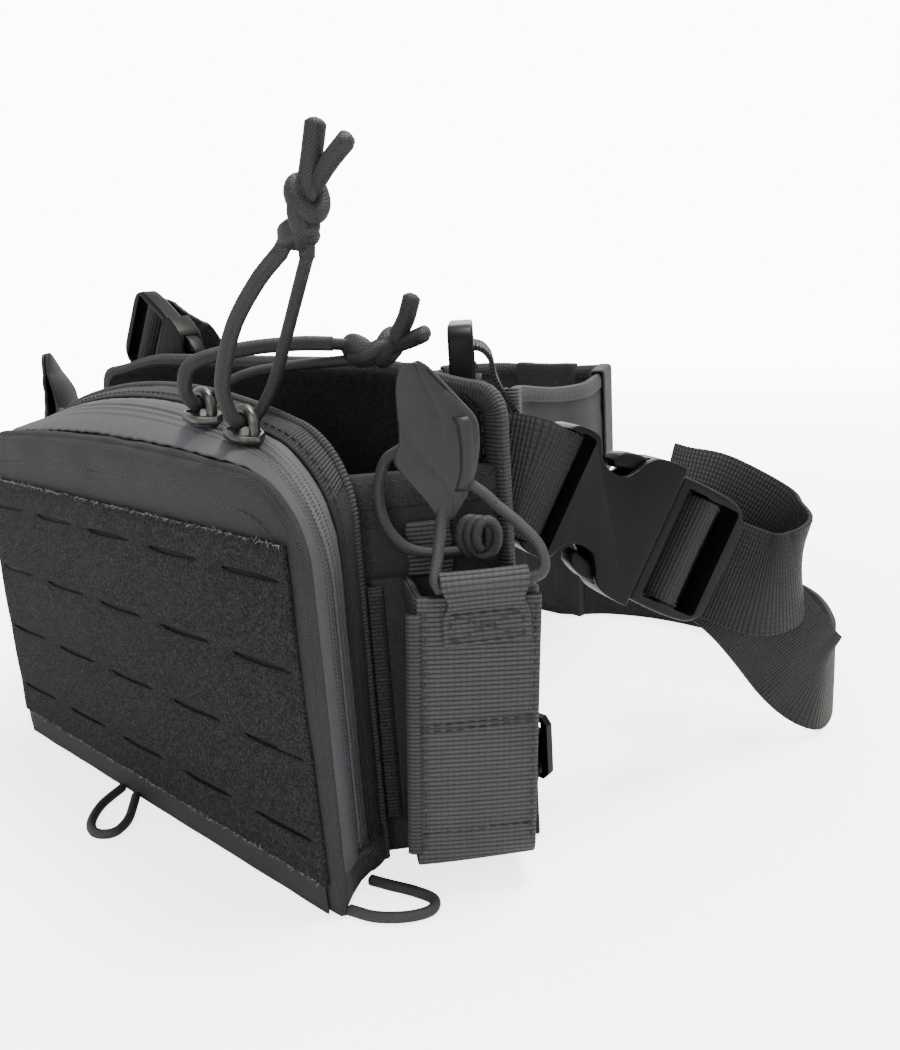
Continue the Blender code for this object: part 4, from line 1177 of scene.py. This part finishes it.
def magazine_pouch(side, name):
    middle = [(3.9, 1.15), (9.2, 1.15), (11.0, 23.1), (43.3, 23.1), (40.8, 1.15), (42.5, 1.15)]
    run = []
    for a, b in zip(rounded_run(middle, 3.0), rounded_run(middle, 3.0)[1:]):
        count = max(1, round((b - a).length / 2.5))
        run += [a.lerp(b, i / count) for i in range(count)]
    run.append(Vector(middle[-1]))
    rows = []
    levels = 32
    inward = wing(side, 1, 0, 0) - wing(side, 0, 0, 0)
    for j in range(levels + 1):
        z = MAG_LOW + (MAG_HIGH - MAG_LOW) * j / levels
        tuck = 2.4 * max(0.0, 1 - (z - MAG_LOW) / 7.0) ** 2
        row = []
        for s, off in run:
            soft = ripple((s, off, z), 15, 0.7, 3.0 + side) if 2.5 < off < 22 else 0.0
            front = max(0.0, (off - 12) / 11)
            point = wing(side, lean(s, z) if off > 2.5 else s, off - tuck * front + soft * 0.3, z)
            row.append(point + inward * (soft + (tuck * front if s < 26 else -tuck * front)))
        rows.append(row)
    skin(f"mag_pouch_cloth_{name}", rows, "cordura", thick=1.5, replaces=(f"magazine_pouch_{name}",))
    floor = [[wing(side, s + (off - 12) * 0.05, off, MAG_LOW + 1.2) for s in (9.6, 17, 25, 33, 41.6)]
             for off in (0.8, 6, 12, 18, 22.2)]
    skin(f"mag_pouch_floor_{name}", floor, "lining", thick=1.5)
    hem = []
    for z, grow in ((86.6, 0.8), (87.2, 1.15), (91.8, 1.15), (92.6, 0.0), (91.8, -1.15), (87.2, -1.15)):
        line = [Vector(p) for p in run[4:-3]]
        ring = []
        for p, along in zip(line, tangents(line)):
            s, off = p[0] - along[1] * grow, p[1] + along[0] * grow
            ring.append(wing(side, lean(s, z), off, z))
        hem.append(ring)
    skin(f"mag_pouch_hem_{name}", hem, "webbing_fine", thick=0.4)
    flanges = {"near": ((3.0, 0.3), (2.6, 1.2), (3.0, 2.3), (4.9, 2.5), (7.3, 2.4)),
               "far": ((43.1, 0.3), (43.5, 1.2), (43.1, 2.3), (41.8, 2.5), (41.0, 2.3))}
    for label, section in flanges.items():
        edge = [[wing(side, s, off, z) for s, off in section]
                for z in range(int(MAG_LOW), int(MAG_HIGH) + 1, 3)]
        skin(f"mag_flange_{label}_{name}", edge, "webbing_fine", thick=0.5)
    seam = [[wing(side, 6.2, 2.9, z) for z in range(16, 92, 4)],
            [wing(side, 4.6, 2.9, z) for z in range(16, 92, 4)]]
    stitches(f"mag_flange_seam_{name}", seam, wing_normal(side))


def magazine_webbing(side, name):
    across = wing(side, 1, 0, 0) - wing(side, 0, 0, 0)
    front = [(25.0, 92.4), (25.3, 84.0), (25.2, 74.0), (25.3, 60.0), (25.1, 45.0), (25.3, 30.0),
             (25.3, 19.0), (25.0, 14.2), (22.0, 11.8), (15.0, 11.0), (6.0, 11.0)]
    points = [wing(side, lean(27.2, z), off, z) for off, z in front]
    strap(f"mag_webbing_{name}", points, [across] * len(points), 34.0, 1.5,
          replaces=(f"magazine_webbing_{name}",), columns=14, crown=0.3, wave=0.35, seed=side)
    edge = []
    for z in range(17, 93, 4):
        s = lean(27.2, z) - 17.0
        edge.append([wing(side, s + d, off, z) for d, off in
                     ((-2.6, 24.2), (-2.8, 25.1), (-1.6, 26.0), (0.3, 26.3), (1.2, 26.0))])
    skin(f"mag_webbing_edge_{name}", edge, "webbing_fine", thick=0.4)
    tunnel = [(26.5, 79.0), (27.0, 84.0), (27.0, 88.0), (28.0, 92.0), (28.4, 95.6), (27.0, 98.8),
              (24.6, 99.0), (22.8, 96.6), (22.6, 92.6)]
    points = [wing(side, 33.6, off, z) for off, z in tunnel]
    rows, count = strap_rows(points, [across] * len(points), 24.0, step=1.4, columns=12, crown=0.2)
    shaped = []
    for i, row in enumerate(rows):
        t = i / count
        neck = 1.0 - 0.14 * math.exp(-((t - 0.42) / 0.10) ** 2)
        middle = (row[0] + row[-1]) / 2
        shaped.append([middle + (p - middle) * neck for p in row])
    skin(f"mag_tunnel_{name}", shaped, "webbing", thick=1.2, bevel=0.3)
    out = wing_normal(side)
    box_seam = [[wing(side, 23.6, 27.7, z) for z in (80.0, 83, 86, 88.4)],
                [wing(side, 43.6, 27.7, z) for z in (80.0, 83, 86, 88.4)],
                [wing(side, s, 27.7, 80.2) for s in range(24, 45, 3)],
                [wing(side, s, 27.8, 88.2) for s in range(24, 45, 3)],
                [wing(side, 23.6 + 20 * t, 27.8, 80.2 + 8 * t) for t in (0, 0.3, 0.6, 1)],
                [wing(side, 43.6 - 20 * t, 27.8, 80.2 + 8 * t) for t in (0, 0.3, 0.6, 1)]]
    for z in (56.0, 54.4, 23.0):
        s = lean(27.2, z)
        box_seam.append([wing(side, s + d, 26.35, z + ripple((d, z, 0), 5, 0.8))
                         for d in range(-16, 17, 2)])
    box_seam.append([wing(side, lean(27.2, z) + 15.4, 26.35, z) for z in range(18, 92, 4)])
    box_seam.append([wing(side, lean(27.2, z) - 15.0, 26.5, z) for z in range(18, 92, 4)])
    stitches(f"mag_webbing_seams_{name}", box_seam, out)


TAB_BOTTOM, TAB_TOP = 108.0, 152.4
TAB_OFF = 12.0


def pull_tab(side, name):
    """A coated strip folded in half over the cord: broad outer leaf, narrow edge, rear leaf."""
    body = f"pull_tab_{name}"
    outline = [(111.0, 24.2, 26.6), (114.0, 22.6, 28.6), (118.5, 19.6, 31.4), (124.0, 15.4, 33.6),
               (128.5, 12.8, 34.6), (133.0, 14.4, 35.0), (138.0, 14.8, 34.4), (143.0, 14.7, 30.6),
               (148.5, 15.0, 26.0), (152.4, 16.2, 22.6), (154.0, 17.6, 20.4)]
    rows = []
    for z, near, far in catmull(outline, 5):
        middle = TAB_OFF + (z - TAB_BOTTOM) * 0.02
        wide = far - near
        high = (z - TAB_BOTTOM) / (TAB_TOP - TAB_BOTTOM)
        gape = 1.9 * math.sin(math.pi * min(1, 0.15 + high)) ** 0.6 + 0.5
        ring = []
        for i in range(25):
            t = i / 24
            crease = 0.4 * math.exp(-((t - 1.05 + 1.5 * high) / 0.05) ** 2)
            crease += 0.25 * math.exp(-((t - 0.3 - 0.4 * high) / 0.05) ** 2)
            ring.append(wing(side, near + wide * t, middle + gape - crease + 0.6 * math.sin(t * 3.1), z))
        for i in range(9):
            angle = math.pi * i / 8
            ring.append(wing(side, far + math.sin(angle), middle + gape * math.cos(angle), z))
        for i in range(25):
            t = 1 - i / 24
            ring.append(wing(side, near + wide * t + 0.6, middle - gape - 0.4 * math.sin(t * 3.1), z))
        rows.append(ring)
    skin(f"{name}_tab_leaf", rows, "tab", body, replaces=(f"pull_tab_{name}",), thick=1.1)
    fold = ((-3.6, 14.9), (-1.8, 15.3), (-0.4, 14.9), (0.5, 13.4), (0.9, 11.8), (0.5, 9.9))
    edge = []
    for z in range(119, 141, 2):
        far = 34.4 - 0.07 * abs(z - 131) - 0.3 * max(0, 124 - z) - 0.5 * max(0, z - 137)
        edge.append([wing(side, far + d, off + (z - TAB_BOTTOM) * 0.02, z) for d, off in fold])
    skin(f"{name}_tab_fold", edge, "tab", body, thick=0.9)
    ribs = Shape()
    for s in (29.4, 31.0, 32.4):
        path = [wing(side, s - 0.25 * max(0, 124 - z), 14.9, z) for z in range(117, 137, 3)]
        ribs.add(*tube_shape(catmull(path, 3), 0.45, 8))
    ribs.make(f"{name}_tab_ridges", "tab", body)


FRONT_CORD = [(20.6, 25.0, 95.3), (26.0, 24.8, 95.3), (34.0, 24.8, 95.3), (44.0, 24.8, 95.3),
              (49.8, 25.0, 97.5), (49.6, 23.0, 103.5), (45.0, 20.0, 109.5), (39.4, 16.0, 114.6)]
REAR_CORD = [(15.6, 9.4, 131.0), (10.8, 6.0, 127.0), (8.4, 4.2, 118.0), (9.6, 4.2, 109.0),
             (14.0, 4.3, 102.4), (20.0, 4.4, 99.6), (28.0, 4.6, 99.0), (33.0, 5.4, 99.0)]


def retention(side, name):
    rows = [[wing(side, s + 0.3 * math.sin(z), off, z) for s, off in
             ((15.4, 1.2), (18.5, 1.5), (21.5, 1.6), (24.5, 1.5), (28.1, 1.2))] for z in range(92, 109)]
    skin(f"anchor_web_{name}", rows, "webbing", thick=1.5, bevel=0.3, replaces=(f"cord_anchor_{name}",))
    low, high = world(wing(side, 30, 12, 98.0)), world(wing(side, 30, 12, 114.0))
    upper = world(wing(side, 30, 12, 128.0))
    for label, route, edge in (("front", FRONT_CORD, high), ("rear", REAR_CORD, upper)):
        path = even(catmull([wing(side, *p) for p in route], 10), 1.0)
        cord = tube_piece(f"{name}_retention_{label}", path, SHOCK_RADIUS, "shock", None,
                          (f"retention_cord_{label}_{name}",))
        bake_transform(cord)
        free_cord(cord, path, SHOCK_RADIUS, "object")
    strands = {"near": [(25.2, 13.4, 116.0), (23.9, 16.5, 109.5), (22.2, 20.5, 103.0), (20.6, 24.2, 97.5),
                        (21.4, 25.4, 95.6)],
               "far": [(39.6, 16.1, 114.4), (37.0, 15.0, 117.2), (33.6, 13.6, 120.0), (30.0, 12.6, 122.6)]}
    for label, strand in strands.items():
        path = even(catmull([wing(side, *p) for p in strand], 8), 1.0)
        piece = tube_piece(f"{name}_retention_{label}_end", path, SHOCK_RADIUS, "shock", None)
        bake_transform(piece)
    coil = []
    for i in range(61):
        angle = 2 * math.pi * 2.6 * i / 60
        coil.append(wing(side, 32.5 + 0.09 * i + 3.6 * math.cos(angle), 8.0 + 0.07 * i,
                         104.0 + 5.2 * math.sin(angle)))
    tube_piece(f"{name}_retention_knot", coil, 1.5, "shock")


# ---------------------------------------------------------------- buckles and their straps

# Both straps use the darker strap webbing, whose colour holds painted shade.
HARNESS = {"width": 36.0, "thick": 1.6, "material": "harness_shaded"}
SHOULDER = {"width": 30.0, "thick": 1.5, "material": "harness_shaded"}


def mirrored_outline(half, per_span=6):
    """A smooth closed outline from its +y half, given from the buckle's end to its mouth."""
    near = catmull(half, per_span)
    return near + [Vector((p[0], -p[1])) for p in reversed(near)]


def prism(axes, outline, low, high):
    """A closed mesh over an outline in a buckle's x and y, between two heights."""
    count = len(outline)
    points = [world(axes.point(x, y, z)) for z in (low, high) for x, y in outline]
    faces = [(i, (i + 1) % count, count + (i + 1) % count, count + i) for i in range(count)]
    faces += [tuple(reversed(range(count))), tuple(range(count, 2 * count))]
    mesh = bpy.data.meshes.new("prism")
    mesh.from_pydata(points, [], faces)
    shell = bmesh.new()
    shell.from_mesh(mesh)
    bmesh.ops.recalc_face_normals(shell, faces=shell.faces)
    shell.to_mesh(mesh)
    shell.free()
    return place_object("prism", mesh)


def block(axes, x0, x1, y0, y1, z0, z1, corner=0.0):
    if corner:
        outline = [Vector((cx + corner * math.cos(a), cy + corner * math.sin(a)))
                   for cx, cy, first in ((x1 - corner, y1 - corner, 0), (x0 + corner, y1 - corner, 1),
                                         (x0 + corner, y0 + corner, 2), (x1 - corner, y0 + corner, 3))
                   for a in (math.pi / 2 * (first + k / 4) for k in range(5))]
    else:
        outline = [(x0, y0), (x1, y0), (x1, y1), (x0, y1)]
    return prism(axes, outline, z0, z1)


def rounded(obj, width, segments=4):
    soften(obj, width, segments, 50)
    bake(obj)


def moulded(name, solid, cutters, additions, body, replaced, edge=0.35):
    """A plastic piece: a rounded solid, cut and joined, with its new edges broken a little."""
    for operation, tools in (("DIFFERENCE", cutters), ("UNION", additions)):
        for tool in tools:
            change = solid.modifiers.new("cut", "BOOLEAN")
            change.operation = operation
            change.object = tool
    bake(solid)
    for tool in [*cutters, *additions]:
        bpy.data.objects.remove(tool, do_unlink=True)
    soften(solid, edge, 2, 40)
    bake(solid)
    solid.name = name
    solid.data.name = name
    solid.data.materials.clear()
    solid.data.materials.append(MATERIALS["plastic"])
    solid.data.shade_smooth()
    solid.data.set_sharp_from_angle(angle=math.radians(38))
    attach(solid, body)
    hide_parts(*replaced)
    return solid


def buckle_body(name, axes, node):
    half = [(-0.4, 13.0), (0.6, 17.6), (3.5, 19.6), (8.0, 20.1), (11.5, 19.4), (13.8, 16.4),
            (16.0, 13.2), (20.5, 11.8), (25.0, 12.4), (28.0, 15.6), (30.6, 19.6), (34.5, 22.0),
            (40.0, 23.0), (45.0, 23.3)]
    solid = prism(axes, mirrored_outline(half), -5.9, 5.9)
    rounded(solid, 2.6, 5)
    cutters = [block(axes, 4.6, 10.6, -18.2, 18.2, -9, 9, 1.5),
               block(axes, -2, 6.6, -17.6, 17.6, 2.6, 9, 1.0),
               block(axes, -2, 6.6, -17.6, 17.6, -9, -2.6, 1.0),
               block(axes, 14.6, 47, -20.9, 20.9, -3.9, 3.9)]
    return moulded(name, solid, cutters, [], "rig", [node])


def arm_outline(sign, root):
    outer = [(root, 17.0), (40, 18.3), (36.5, 19.0), (34, 20.3), (28, 20.4), (22, 18.3), (20.4, 15.6)]
    inner = [(21.4, 13.4), (26, 14.6), (33, 15.0), (40, 13.2), (root, 11.4)]
    return [Vector((x, sign * y)) for x, y in catmull(outer, 4) + catmull(inner, 3)]


def buckle_tongue(name, axes, body, node, with_arms):
    half = [(45.4, 14.0), (45.4, 20.8), (52.0, 21.2), (60.0, 21.3), (67.0, 21.0), (71.5, 20.0),
            (74.6, 17.4), (76.0, 13.6), (76.1, 8.0)]
    near = [Vector(half[0])] + catmull(half[1:], 5)
    outline = near + [Vector((p[0], -p[1])) for p in reversed(near)]
    solid = prism(axes, outline, -4.6, 4.6)
    rounded(solid, 2.5, 5)
    cutters = [block(axes, 49.2, 58.4, -18.3, 18.3, -8, 8, 1.2),
               block(axes, 62.2, 71.8, -18.3, 18.3, -8, 8, 1.6),
               block(axes, 57.8, 62.8, -18.0, 18.0, 1.9, 8),
               block(axes, 57.8, 62.8, -18.0, 18.0, -8, -1.9)]
    guide = prism(axes, mirrored_outline([(19, 1.6), (22, 3.0), (30, 3.3), (47.4, 3.6)], 2), -3.0, 3.0)
    parts = [guide, block(axes, 45.6, 47.6, -17.4, 17.4, -3.4, 3.4)]
    if with_arms:
        parts += [prism(axes, arm_outline(sign, 46.2), -2.9, 2.9) for sign in (1, -1)]
    return moulded(name, solid, cutters, parts, body, [node])


def buckles():
    for side, name in SIDES.items():
        axes = side_frame(side)
        buckle_body(f"side_clip_body_{name}", axes, f"side_buckle_body_{name}")
        buckle_tongue(f"side_clip_tongue_{name}", axes, f"side_tongue_{name}",
                      f"side_buckle_tongue_{name}", False)
        for label, sign in (("upper", 1), ("lower", -1)):
            arm = prism(axes, arm_outline(sign, 44.7), -3.3, 3.3)
            rounded(arm, 1.3, 3)
            moulded(f"side_clip_arm_{label}_{name}", arm, [], [], f"side_arm_{label}_{name}",
                    [f"side_buckle_{name}_arm_{label}"], 0.2)
        axes = shoulder_frame(side)
        buckle_body(f"shoulder_clip_body_{name}", axes, f"shoulder_buckle_body_{name}")
        buckle_tongue(f"shoulder_clip_tongue_{name}", axes, f"shoulder_tongue_{name}",
                      f"shoulder_buckle_tongue_{name}", True)
        finish_node(f"strap_slide_{name}", "plastic", 0.6)


def side_webbing(side, name):
    frame_axes = side_frame(side)
    tilt = frame_axes.direction(0, 1, 0)
    start = [(91.4, 6.4, 118.5), (98.0, 6.8, 118.5), (104.5, 9.2, 118.4)]
    loop = [(-4.5, 2.8), (-1.4, 3.5), (2.0, 3.8), (6.4, 3.1), (8.1, 0.0), (6.4, -3.1), (2.0, -3.8),
            (-3.0, -3.2)]
    points = [mirror(side, p) for p in start] + [frame_axes.point(x, 0, z) for x, z in loop]
    sides = [UP.lerp(tilt, share).normalized() for share in (0.45, 0.5, 0.65, 0.85)]
    sides += [tilt] * (len(loop) - 1)
    strap(f"side_web_{name}", points, sides, 35.4, 1.6, "harness_shaded", replaces=(f"side_webbing_{name}",),
          columns=10)


TAIL = [(108.0, 99.0, 95.0), (119.0, 105.0, 91.5), (130.0, 112.0, 84.5), (142.0, 117.0, 76.5),
        (153.0, 114.0, 71.0), (156.0, 104.5, 66.6), (150.0, 93.0, 66.4)]
WRAP = [(80.0, -6.3), (72.0, -6.0), (68.2, -4.6), (65.6, -0.6), (63.6, 2.6), (60.5, 3.6), (57.4, 2.6),
        (55.2, -0.8), (54.6, -5.0), (56.6, -8.6), (62.0, -9.8), (72.0, -10.0), (79.0, -10.2)]
RUN = [(141.0, 95.6, 60.0), (148.5, 104.0, 46.0), (156.0, 113.0, 30.0), (160.0, 124.0, 21.4),
       (154.0, 146.0, 20.2), (132.0, 174.0, 20.2), (96.0, 188.0, 20.2), (56.0, 190.0, 20.2),
       (28.0, 183.0, 20.2), (13.0, 172.0, 20.2)]


def harness_strap(side, name):
    """The strap in two pieces: its tail and wrap move with the tongue, and the rest is a separate piece
    that stays in place.
    """
    axes = side_frame(side)
    tilt = axes.direction(0, 1, 0)
    flat = mirror(side, (0.55, 0.75, 0.35))
    turning = mirror(side, (0.35, 0.45, 0.80))
    halfway = (tilt + UP).normalized()
    tail = [mirror(side, p) for p in TAIL] + [axes.point(x, 0, z) for x, z in WRAP]
    sides = [flat, flat, turning, UP, UP, UP, halfway] + [tilt] * len(WRAP)
    strap(f"harness_tail_{name}", tail, sides, **HARNESS, body=f"side_tongue_{name}",
          replaces=(f"harness_strap_{name}",), columns=12, step=1.6, crown=0.2)
    run = [axes.point(x, 0, z) for x, z in WRAP[-2:]] + [mirror(side, p) for p in RUN]
    sides = [tilt] * 3 + [halfway] + [UP] * (len(RUN) - 2)
    long_strap = strap(f"harness_run_{name}", run, sides, **HARNESS, body=None, columns=12,
                       step=2.2, wave=0.5, seed=side)
    world(mirror(side, (150.0, 126.0, 40.0)))
    world(mirror(side, (150.0, 96.0, 40.0)))
    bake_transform(long_strap)


# ---------------------------------------------------------------- shoulder straps

def shoulder_anchor(side, name):
    axes = shoulder_frame(side)
    across = mirror(side, (1, 0, 0))
    tilt = axes.direction(0, -1, 0)
    if side == RIGHT:
        start = [(77.0, 6.2, 46.0), (77.4, 7.0, 60.0), (79.0, 13.5, 71.0), (79.0, 20.0, 81.0),
                 (78.0, 22.6, 90.0)]
        sides = [across, across, (across + tilt).normalized(), (across * 0.2 + tilt * 0.8).normalized(),
                 tilt]
    else:
        start = [(8.0, 6.3, 102.0), (22.0, 6.6, 111.6), (34.0, 9.6, 119.8)]
        sides = [tilt, tilt, tilt]
    loop = [(1.5, 4.0), (6.4, 3.2), (8.2, 0.0), (6.4, -3.2), (1.5, -4.0), (-3.6, -3.0)]
    points = [mirror(side, p) for p in start] + [axes.point(x, 0, z) for x, z in loop]
    strap(f"shoulder_anchor_web_{name}", points, sides + [tilt] * len(loop), **SHOULDER,
          replaces=(f"shoulder_anchor_{name}",), columns=10, step=1.6)


def shoulder_webbing(side, name):
    axes = shoulder_frame(side)
    across = axes.direction(0, -1, 0)
    wrap = [(53.6, -7.0), (53.8, -1.0), (56.8, 2.8), (60.6, 3.6), (64.4, 2.6), (66.8, -1.2), (67.0, -6.6),
            (63.0, -10.4), (55.0, -12.0)]
    if side == RIGHT:
        drop = [(90.5, 34.0, 133.0), (91.0, 35.5, 125.0), (88.4, 38.0, 118.4), (84.2, 42.6, 116.8)]
    else:
        drop = [(88.0, 33.0, 146.0), (90.0, 35.0, 132.0), (88.0, 38.4, 120.6), (84.2, 43.0, 117.2)]
    points = [axes.point(x, 0, z) for x, z in wrap] + [mirror(side, p) for p in drop]
    toward = mirror(side, (0.75, -0.66, 0))
    sides = [across] * len(wrap) + [toward, (toward + UP).normalized(), UP, UP]
    web = strap(f"shoulder_web_{name}", points, sides, **SHOULDER, body=None, columns=10, step=1.5,
                replaces=(f"shoulder_webbing_{name}",))
    world(mirror(side, drop[3]))
    world(axes.point(55.0, 0, -12.0))
    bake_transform(web)


BAND = [(80.5, 47.0, 115.0), (73.0, 62.0, 113.6), (65.5, 90.0, 109.0), (58.0, 120.0, 106.6),
        (47.0, 146.0, 106.6), (39.0, 164.0, 107.6), (30.0, 176.0, 107.0), (20.5, 177.0, 106.6),
        (13.4, 172.0, 106.6)]
BAND_HEIGHT = 44.0


def shoulder_band(side, name):
    """A thin padded band standing on edge: two skins that meet in a bound edge, with quilting lines."""
    points = [mirror(side, p) for p in BAND]
    path = even(catmull(points, 12), 3.0)
    along = tangents(path)
    rows = []
    for centre, forward in zip(path, along):
        out = forward.cross(UP).normalized()
        ring = []
        for i in range(33):
            angle = 2 * math.pi * i / 32
            high = math.sin(angle)
            face = math.cos(angle)
            lift = 1.75 * math.copysign(abs(face) ** 0.35, face) if abs(face) > 1e-6 else 0.0
            for line in (-0.42, 0.42):
                lift *= 1 - 0.35 * math.exp(-((high - line) / 0.05) ** 2)
            soft = ripple(centre + UP * high * 20, 18, 0.5, 3.0 + side)
            ring.append(centre + out * (lift + soft) + UP * (high * (BAND_HEIGHT / 2 - 0.7)))
        rows.append(ring)
    band = skin(f"shoulder_pad_{name}", rows, "cordura", replaces=(f"shoulder_band_{name}",))
    for label, sign in (("upper", 1), ("lower", -1)):
        rows = []
        for centre, forward in zip(path, along):
            out = forward.cross(UP).normalized()
            rim = centre + UP * (sign * (BAND_HEIGHT / 2 - 0.4))
            rows.append([rim + out * a - UP * (sign * b) for a, b in
                         ((2.0, 5.2), (1.9, 2.4), (1.3, 0.2), (0, -0.4), (-1.3, 0.2), (-1.9, 2.4),
                          (-2.0, 5.2))])
        skin(f"band_binding_{label}_{name}", rows, "webbing_fine", thick=0.5)
    tip, forward = path[0], along[0]
    out = forward.cross(UP).normalized()
    section = ((2.3, 6.0), (2.3, 1.0), (1.5, -0.9), (0, -1.3), (-1.5, -0.9), (-2.3, 1.0), (-2.3, 6.0))
    rows = [[tip + out * a + forward * b + UP * high for a, b in section] for high in range(-22, 24, 4)]
    skin(f"band_binding_front_{name}", rows, "webbing_fine", thick=0.5)


def band_keeper(side, name):
    knots = catmull([mirror(side, p) for p in BAND], 2)
    middle, forward = knots[9], (knots[10] - knots[8]).normalized()
    out = forward.cross(UP).normalized()
    deep, high = 2.9, 23.2
    ring = rounded_run([(0, -high), (deep, -high), (deep, high), (-deep, high), (-deep, -high),
                        (0, -high)], 1.6)
    across = (-9, -6, -3, 0, 3, 6, 9)
    points, faces, _ = grid([[middle + forward * t + out * a + UP * b for a, b in ring] for t in across])
    shape = Shape().add(points, faces, [(b, t) for t in across for _, b in ring])
    shape.make(f"elastic_keeper_{name}", "webbing_fine", f"band_keeper_{name}", thick=1.1, bevel=0.3,
               replaces=(f"band_keeper_{name}",))


def back_yoke():
    rows = [[(x, 170.0 + ripple((x, 0, z), 20, 0.6) + (2.6 if abs(x) > 10 else 0), z)
             for x in (-17.2, -16.2, -11, -6, -3, 0, 3, 6, 11, 16.2, 17.2)] for z in range(2, 132, 4)]
    skin("yoke_patch", rows, "cordura", thick=4.6, bevel=0.8, replaces=("back_yoke",))
    for label, y, out in (("front", 167.4, -1), ("back", 172.6, 1)):
        lines = [[(x, y, z) for z in range(6, 127, 6)] for x in (-9.0, 9.0)]
        lines += [[(x, y, z) for x in range(-8, 9, 4)] for z in (5, 36, 88, 125)]
        lines += [[(-8, y, 88), (8, y, 125)], [(8, y, 88), (-8, y, 125)], [(-8, y, 5), (8, y, 36)],
                  [(8, y, 5), (-8, y, 36)]]
        stitches(f"yoke_seams_{label}", lines, (0, out, 0))


def lower_corner(side, name):
    route = [(5.9, 2.4), (5.9, 16.0), (6.4, 22.0), (9.6, 25.6), (12.2, 28.6), (12.4, 31.0),
             (11.6, 34.6), (8.4, 37.8), (6.1, 41.6), (5.9, 48.0), (5.9, 60.0)]
    points = [mirror(side, (105.5, y, z)) for y, z in route]
    across = mirror(side, (1, 0, 0))
    spans = {"low": (points[:6], 4.0, 20.0), "high": (points[5:], 62.0, 42.0)}
    for label, (span, held, free) in spans.items():
        replaced = (f"lower_webbing_{name}",) if label == "low" else ()
        web = strap(f"lower_web_{label}_{name}", span, [across] * len(span), 24.4, 1.4, "harness_shaded", None,
                    replaced, columns=8, step=1.4)
        world(mirror(side, (105.5, 6.0, held)))
        world(mirror(side, (105.5, 6.0, free)))
        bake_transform(web)


def bottom_loops():
    z = BASE_Z + SHOCK_RADIUS
    corner = [(99.0, -57.5, z), (107.0, -55.0, z), (114.0, -49.5, z), (117.4, -43.4, z),
              (114.8, -39.4, z), (107.6, -40.2, z), (100.0, -42.6, z), (93.6, -44.4, z)]
    centre = [(-9.5, -63.3, z), (-4.0, -67.5, z), (3.0, -73.5, z), (6.0, -80.0, z),
              (1.5, -84.0, z), (-6.0, -82.0, z), (-14.0, -74.0, z), (-19.0, -63.3, z)]
    routes = {name: [mirror(side, p) for p in corner] for side, name in SIDES.items()}
    routes["centre"] = centre
    for name, route in routes.items():
        path = even(catmull(route, 10), 1.2)
        cord = tube_piece(f"lower_cord_{name}", path, SHOCK_RADIUS, "shock",
                          replaces=(f"bottom_loop_{name}",))
        free_cord(cord, path, SHOCK_RADIUS, "object")


MATERIALS = make_materials()
make_camera()
make_stage()
rear_panel()
rear_lining()
front_panel()
pouch_gusset()
pouch_front()
pouch_back()
zip_tape()
loop_field()
pulls()
buckles()
for side, name in SIDES.items():
    for build in (magazine_pouch, magazine_webbing, pull_tab, retention, side_webbing, harness_strap,
                  shoulder_anchor, shoulder_webbing, shoulder_band, band_keeper, lower_corner):
        build(side, name)
back_yoke()
bottom_loops()
